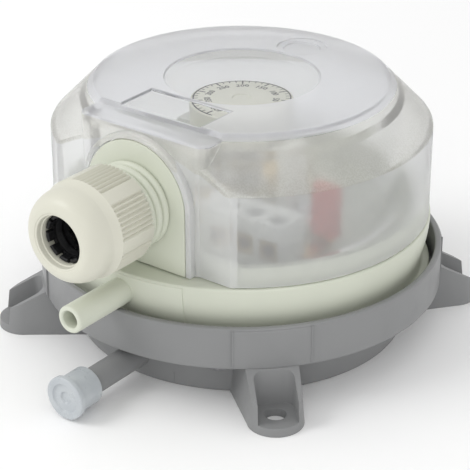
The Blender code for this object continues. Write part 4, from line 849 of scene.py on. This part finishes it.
def nozzle_steps(radius, height, wall_r, bore_r):
    """Steps that add a hose nozzle with a rounded end and bore it through the wall."""
    start = wall_r + SUNK
    outline = rounded([(0, start, 0), (radius, start, 0), (radius, NOZZLE_END, NOZZLE_EDGE),
                       (0, NOZZLE_END, 0)])
    place = at(z=height) @ TO_FRONT
    past = NOZZLE_END + BORE_PAST_END
    bore = rounded([(0, wall_r - BASE_WALL, 0), (bore_r, wall_r - BASE_WALL, 0),
                    (bore_r, NOZZLE_END - ROUND, ROUND), (bore_r + BORE_CHAMFER, past, 0),
                    (0, past, 0)], 4)
    return [("UNION", moved(turned(outline, SMALL), place)),
            ("DIFFERENCE", moved(turned(bore, SMALL), place))]


# Upper housing

def arch_outline(radius, low, rise, steps=48):
    """Straight sides that rise to a half circle a little above the axis it is drawn about."""
    return [(-radius, low), (radius, low)] + arc((0.0, rise), radius, 0.0, math.pi, steps)


def chorded(radius, chord, edge):
    """A circle whose front is cut off straight, with rounded corners."""
    corner = math.asin(chord / radius)
    points = [(x, y, 0.0) for x, y in arc((0.0, 0.0), radius, -corner, math.pi + corner, BROAD)]
    points[0] = (*points[0][:2], edge)
    points[-1] = (*points[-1][:2], edge)
    return rounded(points)


def ledge_profile(extra=0.0):
    """The wall that swells from the waist to the ledge under the cover."""
    points = [(WAIST_R + extra, WAIST_Z, 0)]
    steps = 10
    for k in range(1, steps):
        part = k / steps
        points.append((WAIST_R + extra + (LEDGE_R - WAIST_R) * math.sin(math.pi / 2 * part),
                       WAIST_Z + (LEDGE_Z - WAIST_Z) * part, 0))
    points.append((LEDGE_R + extra, LEDGE_Z, LEDGE_ROUND))
    return points


def build_upper_housing():
    inside = UPPER_CHAMBER_R
    rim = CLAMP_Z + CLAMP_RIM
    profile = [(0, ROOF_Z, 0), (inside, ROOF_Z, WIDE_ROUND), (inside, CLAMP_Z, FINE_ROUND),
               (CLAMP_R, CLAMP_Z, FINE_ROUND), (CLAMP_R, rim, CLAMP_ROUND), (WAIST_R, rim, BROAD_ROUND)]
    profile += ledge_profile() + [(0, LEDGE_Z, 0)]
    half = math.asin(FRONT_PAD_HALF / LEDGE_R)
    pad_top = LEDGE_Z - FRONT_PAD_DROP
    pad = [(inside + BASE_WALL, WAIST_Z, 0)] + ledge_profile(FRONT_PAD_STEP)[:-1]
    pad += [(LEDGE_R + FRONT_PAD_STEP, pad_top, ROUND), (inside + BASE_WALL, pad_top, 0)]
    well = chorded(RIM_R - RIM_WALL, RIM_CHORD - RIM_WALL, RIM_INNER_ROUND)
    steps = [("UNION", turned(rounded(pad), NARROW, -math.pi / 2 - half, 2 * half)),
             ("UNION", prism(chorded(RIM_R, RIM_CHORD, RIM_ROUND), FLOOR_Z, RIM_TOP)),
             ("DIFFERENCE", prism(well, FLOOR_Z, 2 * RIM_TOP)),
             ("UNION", rod(GUIDE_R, FLOOR_Z - SUNK, GUIDE_TOP))]
    for side in (-1, 1):
        steps.append(("UNION", moved(rod(BOSS_R, FLOOR_Z - SUNK, GUIDE_TOP, BOSS), at(side * BOSS_X))))
    back = ARCH_FACE - ARCH_PLATE
    foot = LEDGE_Z - SUNK
    plate = prism(arch_outline(ARCH_R, foot - GLAND_Z, ARCH_RISE), back, ARCH_FACE, edge=ARCH_EDGE)
    gap = block((-2 * ARCH_R, 2 * ARCH_R), (-2 * ARCH_FACE, FOOT_GAP_DEPTH - ARCH_FACE),
                (LEDGE_Z, LEDGE_Z + FOOT_GAP))
    steps += [("UNION", moved(plate, GLAND_AXIS)), ("DIFFERENCE", gap)]
    near = -back - ARCH_PLATE / 2
    far = -(RIM_CHORD - RIM_WALL) - RIM_WALL / 2
    rib = [(near, RIB_TOP), (near, foot), (far, foot), (far, RIM_TOP)]
    for side in (-1, 1):
        middle = side * RIB_X
        one_rib = prism(rib, middle - RIB / 2, middle + RIB / 2, edge=FINE_ROUND)
        steps.append(("UNION", moved(one_rib, ALONG_X)))
    way_in = rod(CABLE_R, back - BASE_WALL, ARCH_FACE + BASE_WALL, MEDIUM)
    steps.append(("DIFFERENCE", moved(way_in, GLAND_AXIS)))
    steps += nozzle_steps(UPPER_NOZZLE_R, UPPER_NOZZLE_Z, inside, UPPER_BORE_R)
    steps.append(("DIFFERENCE", rod(PIN_HOLE_R, ROOF_Z - SUNK, GUIDE_TOP + SUNK, BOSS)))
    for side in (-1, 1):
        hole = rod(BOSS_HOLE_R, ROOF_Z + SUNK, GUIDE_TOP + SUNK, NARROW)
        steps.append(("DIFFERENCE", moved(hole, at(side * BOSS_X))))
    mesh = shape(turned(rounded(profile)), *steps, name="ledge_shell")
    pale = MATERIALS["pale_housing"]
    add("ledge_shell", mesh, pale, "housing", "upper_housing", sharp=28)
    add("gland_stub", stub_mesh(), pale, "housing", None)


def stub_mesh():
    """The threaded stub: a real helix outside, claws at its end, a stepped bore inside."""
    start = THREAD_START
    root = THREAD_R - THREAD_DEPTH
    count = 100

    def outer(row, column):
        angle = 2 * math.pi * column / THREADED
        along = start + (THREAD_END - start) * row / count
        turn = (along - start) / THREAD_PITCH - column / THREADED + THREAD_TURN
        phase = turn - math.floor(turn)
        ridge = math.sqrt(max(0.0, 1 - (THREAD_SHARPNESS * (phase - 0.5)) ** 2))
        fade = min(1.0, (along - start) / THREAD_RUN_IN, (THREAD_END - along) / THREAD_RUN_OUT)
        radius = root + THREAD_DEPTH * ridge * max(0.0, fade)
        return (radius * math.cos(angle), radius * math.sin(angle), along)

    form, rings = tube(count + 1, THREADED, outer)
    floor = SEAL_START - FIT
    profile = [(CLAW_R, CLAW_START), (CLAW_TIP_R, CLAW_END - ROUND),
               (CLAW_TIP_R - CLAW_CHAMFER, CLAW_END), (SEAL_R + FIT + HAIR, CLAW_END),
               (SEAL_R + FIT, CLAW_END - FINE_ROUND), (SEAL_R + FIT, floor), (CABLE_R, floor),
               (CABLE_R, start)]
    last = rings[-1]
    spokes = [2 * math.pi * k / THREADED for k in range(THREADED)]
    for radius, height in profile:
        ring = [form.verts.new((radius * math.cos(spoke), radius * math.sin(spoke), height))
                for spoke in spokes]
        bridge(form, last, ring)
        last = ring
    bridge(form, last, rings[0])
    mesh = finished(form, "gland_stub")
    slots = []
    for k in range(CLAW_SLOTS):
        slot = block((-CLAW_SLOT_HALF, CLAW_SLOT_HALF), (-2 * CLAW_R, 2 * CLAW_R),
                     (CLAW_START, 2 * CLAW_END))
        slots.append(("DIFFERENCE", moved(slot, Matrix.Rotation(math.pi / CLAW_SLOTS * k, 4, "Z"))))
    return moved(shape(mesh, *slots, name="gland_stub"), GLAND_AXIS)


# Cable gland

def flute_depth(angle):
    """How deep the nut's surface lies under its flute crests at an angle, from 0 to 1."""
    place = angle % (2 * math.pi / NUT_GROUPS)
    if place > NUT_FLUTED:
        return 0.0
    return 0.5 - 0.5 * math.cos(2 * math.pi * place * NUT_FLUTES / NUT_FLUTED)


def build_gland_nut():
    columns = 576
    bore = THREAD_R + NUT_TO_THREAD
    dome_r = NUT_R - NUT_BAND_FALL
    # Radius, place along the axis, and share of the flutes' depth
    rows = [(bore + HAIR, NUT_START, 0.0), (NUT_R - HAIR, NUT_START, 1.0),
            (NUT_R, NUT_START + 0.15 * MM, 1.0), (NUT_R, NUT_BAND - 0.9 * MM, 1.0),
            (NUT_R, NUT_BAND - 0.6 * MM, 0.8), (NUT_R, NUT_BAND - 0.3 * MM, 0.4),
            (NUT_R, NUT_BAND, 0.0), (NUT_R - HAIR, NUT_BAND + HAIR, 0.0),
            (dome_r + 0.05 * MM, NUT_BAND_END - 0.2 * MM, 0.0)]
    steps = 24
    for k in range(steps + 1):
        angle = math.pi / 2 * k / steps
        rows.append((NUT_LIP_R + (dome_r - NUT_LIP_R) * math.cos(angle) ** 0.85,
                     NUT_BAND_END + (NUT_FRONT - NUT_BAND_END) * math.sin(angle) ** 0.95, 0.0))
    seat = SEAL_END - FIT
    inside = rounded([(NUT_LIP_R, NUT_FRONT, 0), (NUT_LIP_R - 0.3 * MM, NUT_FRONT, HAIR),
                      (NUT_LIP_R - 0.4 * MM, NUT_FRONT - 0.15 * MM, HAIR),
                      (NUT_MOUTH_R + HAIR, NUT_FRONT - HAIR, ROUND),
                      (NUT_MOUTH_R, NUT_FRONT - 1.3 * MM, 0.05 * MM),
                      (NUT_THROAT_R, NUT_FRONT - 1.4 * MM, 0.05 * MM),
                      (NUT_THROAT_R, seat + FIT, HAIR), (SEAL_R + FIT, seat, HAIR),
                      (SEAL_R + FIT, CLAW_END + CLAW_TO_NUT, HAIR),
                      (CLAW_TIP_R + CLAW_TO_NUT, CLAW_END + FIT, FINE_ROUND),
                      (CLAW_R + CLAW_TO_NUT, CLAW_START, ROUND), (bore, THREAD_END + FIT, ROUND),
                      (bore, NUT_START, HAIR)], 3)
    rows += [(radius, height, 0.0) for radius, height in inside[1:]]

    def surface(row, column):
        radius, height, share = rows[row]
        angle = 2 * math.pi * column / columns
        radius -= NUT_FLUTE_DEPTH * flute_depth(angle) * share
        return (radius * math.cos(angle), radius * math.sin(angle), height)

    form, rings = tube(len(rows), columns, surface)
    bridge(form, rings[-1], rings[0])
    mesh = moved(finished(form, "fluted_nut"), GLAND_AXIS)
    add("fluted_nut", mesh, MATERIALS["ivory_nut"], "nut", "gland_nut", sharp=40)


def build_gland_seal():
    """Ribbed rubber seal whose mouth is cut into rounded fingers, so that it closes on the cable."""
    lip = (SEAL_R - SEAL_BORE_R) / 3
    outline = [(SEAL_BORE_R, SEAL_START, HAIR), (SEAL_R, SEAL_START, FINE_ROUND),
               (SEAL_R, SEAL_END - lip, ROUND), (SEAL_R - lip, SEAL_END, 0.25 * MM),
               (SEAL_BORE_R + lip, SEAL_END, ROUND)]
    step = (SEAL_END - SEAL_START - 2 * lip) / SEAL_RIBS
    for k in range(SEAL_RIBS):
        high = SEAL_END - 2 * lip - step * k
        outline += [(SEAL_BORE_R, high, 0.12 * MM),
                    (SEAL_BORE_R + SEAL_RIB_DEPTH, high - step * 0.5, FINE_ROUND)]
    black = MATERIALS["black_rubber"]
    mesh = moved(turned(rounded(outline, 4), MEDIUM), GLAND_AXIS)
    add("ribbed_seal", mesh, black, "seal", "gland_seal", sharp=30)
    outer = NUT_THROAT_R - HAIR
    inner = outer - FINGER_THICK
    start = SEAL_END + 0.05 * MM
    crown = rounded([(inner, start, 0), (outer, start, HAIR), (outer, FINGER_TIP - 0.5 * MM, ROUND),
                     (outer - 0.4 * MM, FINGER_TIP, ROUND), (inner, FINGER_TIP - 0.3 * MM, ROUND)], 4)
    gaps = []
    for k in range(SEAL_FINGERS):
        gap = block((-SEAL_GAP_HALF, SEAL_GAP_HALF), (SEAL_BORE_R / 2, 2 * outer),
                    (start + FINGER_ROOT, 2 * FINGER_TIP))
        turn = Matrix.Rotation(2 * math.pi / SEAL_FINGERS * k + FINGER_TURN, 4, "Z")
        gaps.append(("DIFFERENCE", moved(gap, turn)))
    mesh = moved(shape(turned(crown, MEDIUM), *gaps, name="seal_fingers"), GLAND_AXIS)
    add("seal_fingers", mesh, black, "seal", None, sharp=30)


def build_nozzle_cap():
    inner = LOWER_NOZZLE_R + FIT
    body = inner + CAP_WALL
    flange = (CAP_HIGH.x - CAP_LOW.x) / 2 + 0.3 * MM
    start = -CAP_HIGH.y
    end = -CAP_LOW.y
    neck = end - CAP_FLANGE
    dish = end - CAP_DISH_DEPTH
    dent = end - 2 * CAP_DISH_DEPTH
    outline = rounded([(0, NOZZLE_END + FIT, 0), (inner, NOZZLE_END + FIT, ROUND),
                       (inner, start, 0.15 * MM), (body, start, 0.25 * MM),
                       (body, neck - CAP_FLARE_LENGTH, ROUND), (body + CAP_FLARE, neck, HAIR),
                       (flange, neck, 0.25 * MM), (flange, end, 0.35 * MM),
                       (CAP_DISH_R, end, 0.25 * MM), (CAP_DISH_R - CAP_DISH_SLANT, dish, 0.25 * MM),
                       (CAP_DENT_R, dish, FINE_ROUND), (CAP_DENT_R - CAP_DENT_SLANT, dent, FINE_ROUND),
                       (0, dent, 0)])
    mesh = moved(turned(outline, MEDIUM), at(z=LOWER_NOZZLE_Z) @ TO_FRONT)
    add("soft_cap", mesh, MATERIALS["milky_cap"], "cap", "nozzle_cap")


# Cover

def cover_solid(inset, low, edge):
    """The cover's round form without its hood, or the hollow that lies an inset inside it."""
    top = COVER_TOP - inset
    slant = inset * math.tan(CONE_FALL / 2)
    shoulder_r = COVER_SHOULDER_R - inset
    shoulder_z = COVER_SHOULDER_Z - inset * math.tan((math.pi / 2 - CONE_FALL) / 2)
    points = [(0, top, 0), (COVER_TOP_R - slant, top, edge), (shoulder_r, shoulder_z, edge),
              (shoulder_r + COVER_LEAN, low, 0), (0, low, 0)]
    return turned(rounded(points, 6))


def trims(flat, top):
    """Steps that cut the round form back to the flat front and lower its top before the hood."""
    reach = 2 * COVER_SHOULDER_R
    drop = [(-HOOD_STEP, 2 * top), (-HOOD_STEP, top + COVER_TOP - HOOD_TOP),
            (-HOOD_STEP - HOOD_STEP_SLANT, top), (-reach, top), (-reach, 2 * top)]
    return [("DIFFERENCE", block((-reach, reach), (-reach, -flat), (0.0, reach))),
            ("DIFFERENCE", moved(prism(drop, -HOOD_HALF, HOOD_HALF), ALONG_X))]


def hood_outline(half, front):
    """The hood from above: a straight front with cut corners."""
    return [(-half, -BOX_WINDOW_BACK), (-half, HOOD_CORNER - front), (HOOD_CORNER - half, -front),
            (half - HOOD_CORNER, -front), (half, HOOD_CORNER - front), (half, -BOX_WINDOW_BACK)]


def above_foot(mesh):
    """A form cut off level with the cover's foot."""
    return shape(mesh, ("DIFFERENCE", block((-1, 1), (-1, 1), (-1, COVER_LOW.z))))


def window_cuts():
    """Steps that sink the round window, the box window and the dimple into the lid."""
    low = COVER_TOP - WINDOW_STEP
    high = COVER_TOP + WINDOW_STEP
    window = rounded([(0, low, 0), (WINDOW_R, low, WINDOW_ROUND), (WINDOW_R + WINDOW_SLANT, high, 0),
                      (0, high, 0)], 3)
    floor = COVER_TOP - DIMPLE_DEPTH
    dimple = rounded([(0, floor, 0), (DIMPLE_R, floor, ROUND), (DIMPLE_R + HAIR, low, HAIR),
                      (DIMPLE_RING_R, low, WINDOW_ROUND), (DIMPLE_RING_R + FINE_ROUND, high, 0),
                      (0, high, 0)], 3)
    slant = 2 * WINDOW_STEP
    half = BOX_WINDOW_HALF
    front = -2 * HOOD_STEP
    box = loft(box_outline(-half, half, front, -BOX_WINDOW_BACK), low,
               box_outline(-half - slant, half + slant, front, slant - BOX_WINDOW_BACK), high)
    return [("DIFFERENCE", turned(window, BROAD)), ("DIFFERENCE", box),
            ("DIFFERENCE", moved(turned(dimple, DISHED), at(y=DIMPLE_Y)))]


def build_cover():
    foot = COVER_LOW.z
    front = COVER_FLAT + HOOD_PROUD
    inset = COVER_WALL
    arch_r = ARCH_R + FIT
    below = foot - HOOD_OVERRUN
    hood = above_foot(prism(hood_outline(HOOD_HALF, front), below, HOOD_TOP, edge=HOOD_EDGE))
    bead = prism(arch_outline(arch_r + BEAD_WIDTH, below - GLAND_Z, ARCH_RISE), COVER_FLAT,
                 front + BEAD_PROUD, edge=BEAD_EDGE)
    bead = above_foot(moved(bead, GLAND_AXIS))
    inside = prism(hood_outline(HOOD_HALF - inset, front - inset), foot - inset, HOOD_TOP - inset)
    hollow = shape(cover_solid(inset, foot - inset, COVER_INNER_EDGE),
                   *trims(COVER_FLAT - inset, HOOD_TOP - inset), ("UNION", inside))
    share = (SKIRT_R - COVER_TOP_R) / (COVER_SHOULDER_R - COVER_TOP_R)
    skirt_top = COVER_TOP - (COVER_TOP - COVER_SHOULDER_Z) * share - inset / 2
    skirt_in = SKIRT_R - SKIRT_WALL
    ring = [(skirt_in, SKIRT_LOW), (SKIRT_R, SKIRT_LOW), (SKIRT_R, skirt_top), (skirt_in, skirt_top)]
    reach = 2 * SKIRT_R
    gap = block((-reach, reach), (-reach, -(RIM_CHORD - RIM_WALL - SKIRT_TO_RIM)), (0.0, reach))
    skirt = shape(turned(ring), ("DIFFERENCE", gap))
    mouth = prism(arch_outline(arch_r, -GLAND_Z, ARCH_RISE), COVER_FLAT - 2 * inset, 2 * COVER_FLAT)
    mesh = shape(cover_solid(0.0, foot, COVER_EDGE), *trims(COVER_FLAT, HOOD_TOP), ("UNION", hood),
                 ("UNION", bead), ("DIFFERENCE", hollow), ("UNION", skirt),
                 ("DIFFERENCE", moved(mouth, GLAND_AXIS)), *window_cuts(), name="clear_hood")
    add("clear_hood", mesh, MATERIALS["clear_cover"], "cover", "cover", sharp=24)


# Dial and spring

def build_dial():
    under = DIAL_TOP - DIAL_PLATE
    hub_low = DIAL_LOW.z
    skirt_low = DIAL_LOW.z + DIAL_RISE
    rim = DIAL_R - HAIR
    inner = DIAL_R - DIAL_WALL
    dent = DIAL_TOP - DIAL_DENT_DEPTH
    outline = rounded([(0, dent, 0), (DIAL_DENT_R, dent, HAIR), (DIAL_DENT_R + HAIR, DIAL_TOP, HAIR),
                       (rim, DIAL_TOP, 0.4 * MM), (rim, skirt_low, ROUND), (inner, skirt_low, ROUND),
                       (inner, under, BROAD_ROUND), (DIAL_HUB_R, under, BROAD_ROUND),
                       (DIAL_HUB_R, hub_low, ROUND), (DIAL_HUB_BORE_R, hub_low, FINE_ROUND),
                       (DIAL_HUB_BORE_R, under, FINE_ROUND), (0, under, 0)], 4)
    mesh = turned(outline, MEDIUM, name="printed_dial")
    add("printed_dial", mesh, MATERIALS["cream_dial"], "dial", "setpoint_dial")
    add("dial_scale", dial_scale(), MATERIALS["dial_print"], "dial", None)


def dial_scale():
    """Ticks, an edge arc and plain numbers as a thin print on the dial's top."""
    form = bmesh.new()
    low = DIAL_TOP - PRINT_SUNK
    high = DIAL_TOP + PRINT_PROUD
    for k in range(SCALE_TICKS + 1):
        turn = Matrix.Rotation(SCALE_START + SCALE_SWEEP * k / SCALE_TICKS, 4, "Z")
        numbered = k % SCALE_LONG == 0
        length, half = (LONG_TICK_LENGTH, LONG_TICK_HALF) if numbered else (TICK_LENGTH, TICK_HALF)
        tick = block((SCALE_R - length, SCALE_R + HAIR), (-half, half), (low, high))
        form.from_mesh(moved(tick, turn))
        if numbered:
            number = number_mesh(str(SCALE_STEP * (k // SCALE_LONG + 1)), high - low)
            place = turn @ at(x=SCALE_R - NUMBER_INSET, z=low) @ Matrix.Rotation(-math.pi / 2, 4, "Z")
            form.from_mesh(moved(number, place))
    inner = SCALE_R - SCALE_LINE
    edge = [(inner, low), (SCALE_R, low), (SCALE_R, high), (inner, high)]
    form.from_mesh(turned(edge, BROAD, SCALE_START - SCALE_OVER, SCALE_SWEEP + 2 * SCALE_OVER))
    return finished(form, "dial_scale")


def number_mesh(digits, thick):
    """A plain number that lies flat about the origin and reads from +Y."""
    curve = bpy.data.curves.new("number", "FONT")
    curve.body = digits
    curve.size = NUMBER_SIZE
    curve.align_x = "CENTER"
    curve.align_y = "CENTER"
    curve.extrude = thick / 2
    curve.offset = NUMBER_BOLD
    curve.resolution_u = 2
    holder = placed("number", curve)
    mesh = evaluated(holder)
    bpy.data.objects.remove(holder, do_unlink=True)
    return moved(mesh, at(z=thick / 2))


def build_spring():
    """The range spring: a smooth helix with closed ends, on the CAD spring's own box."""
    low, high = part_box("range_spring")
    wire = SPRING_WIRE_R
    mean = (high.x - low.x) / 2 - wire
    bottom = low.z + wire
    top = high.z - wire
    middle = (top - bottom - 2 * SPRING_CLOSE) / (SPRING_TURNS - 2)

    def surface(row, column):
        turn = SPRING_TURNS * row / SPRING_RINGS
        if turn < 1:
            height = bottom + SPRING_CLOSE * turn
        elif turn < SPRING_TURNS - 1:
            height = bottom + SPRING_CLOSE + middle * (turn - 1)
        else:
            height = top - SPRING_CLOSE * (SPRING_TURNS - turn)
        out = Vector((math.cos(2 * math.pi * turn), math.sin(2 * math.pi * turn), 0))
        around = 2 * math.pi * column / SPRING_SIDES
        return out * (mean + wire * math.cos(around)) + Vector((0, 0, height + wire * math.sin(around)))

    form, rings = tube(SPRING_RINGS + 1, SPRING_SIDES, surface)
    form.faces.new(rings[0])
    form.faces.new(list(reversed(rings[-1])))
    mesh = finished(form, "wire_spring")
    steel = MATERIALS["spring_steel"]
    spring = add("wire_spring", mesh, steel, "housing", "range_spring")
    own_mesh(spring)


# Room, light and camera

def build_stage():
    mesh = bpy.data.meshes.new("floor")
    corners = box_outline(-FLOOR_HALF, FLOOR_HALF, -FLOOR_HALF, FLOOR_HALF)
    mesh.from_pydata([(x, y, 0) for x, y in corners], [], [(0, 1, 2, 3)])
    n = Nodes("floor")
    colour = n.mix(n.rise(n.noise(3, 2), 0.3, 0.7), (0.96, 0.96, 0.96), (0.98, 0.98, 0.98))
    mesh.materials.append(n.set(Base_Color=colour, Roughness=0.85, Specular_IOR_Level=0.2))
    placed("floor", mesh)


def aim(item, place, target):
    item.location = place
    item.rotation_euler = (Vector(target) - Vector(place)).to_track_quat("-Z", "Y").to_euler()


def build_light():
    world = bpy.data.worlds.new("studio")
    bpy.context.scene.world = world
    world.use_nodes = True
    background = world.node_tree.nodes["Background"]
    background.inputs["Color"].default_value = (1.0, 1.0, 1.0, 1.0)
    background.inputs["Strength"].default_value = WORLD_STRENGTH
    for name, lamp in (("key", KEY), ("fill", FILL)):
        light = bpy.data.lights.new(name, "AREA")
        light.shape = "DISK"
        light.size = lamp["size"]
        light.energy = lamp["power"]
        aim(placed(name, light), lamp["place"], LIGHT_TARGET)
    bpy.context.scene.view_settings.view_transform = "Standard"


def build_camera():
    """The camera that was fitted to the photo."""
    camera = bpy.data.cameras.new("camera")
    camera.lens = CAMERA_LENS
    camera.sensor_width = CAMERA_SENSOR
    camera.clip_start = CAMERA_CLIP
    view = placed("camera", camera)
    aim(view, CAMERA_PLACE, CAMERA_TARGET)
    bpy.context.scene.camera = view


dress_nodes()
build_lower_housing()
build_upper_housing()
build_gland_nut()
build_gland_seal()
build_nozzle_cap()
build_cover()
build_dial()
build_spring()
build_stage()
build_light()
build_camera()
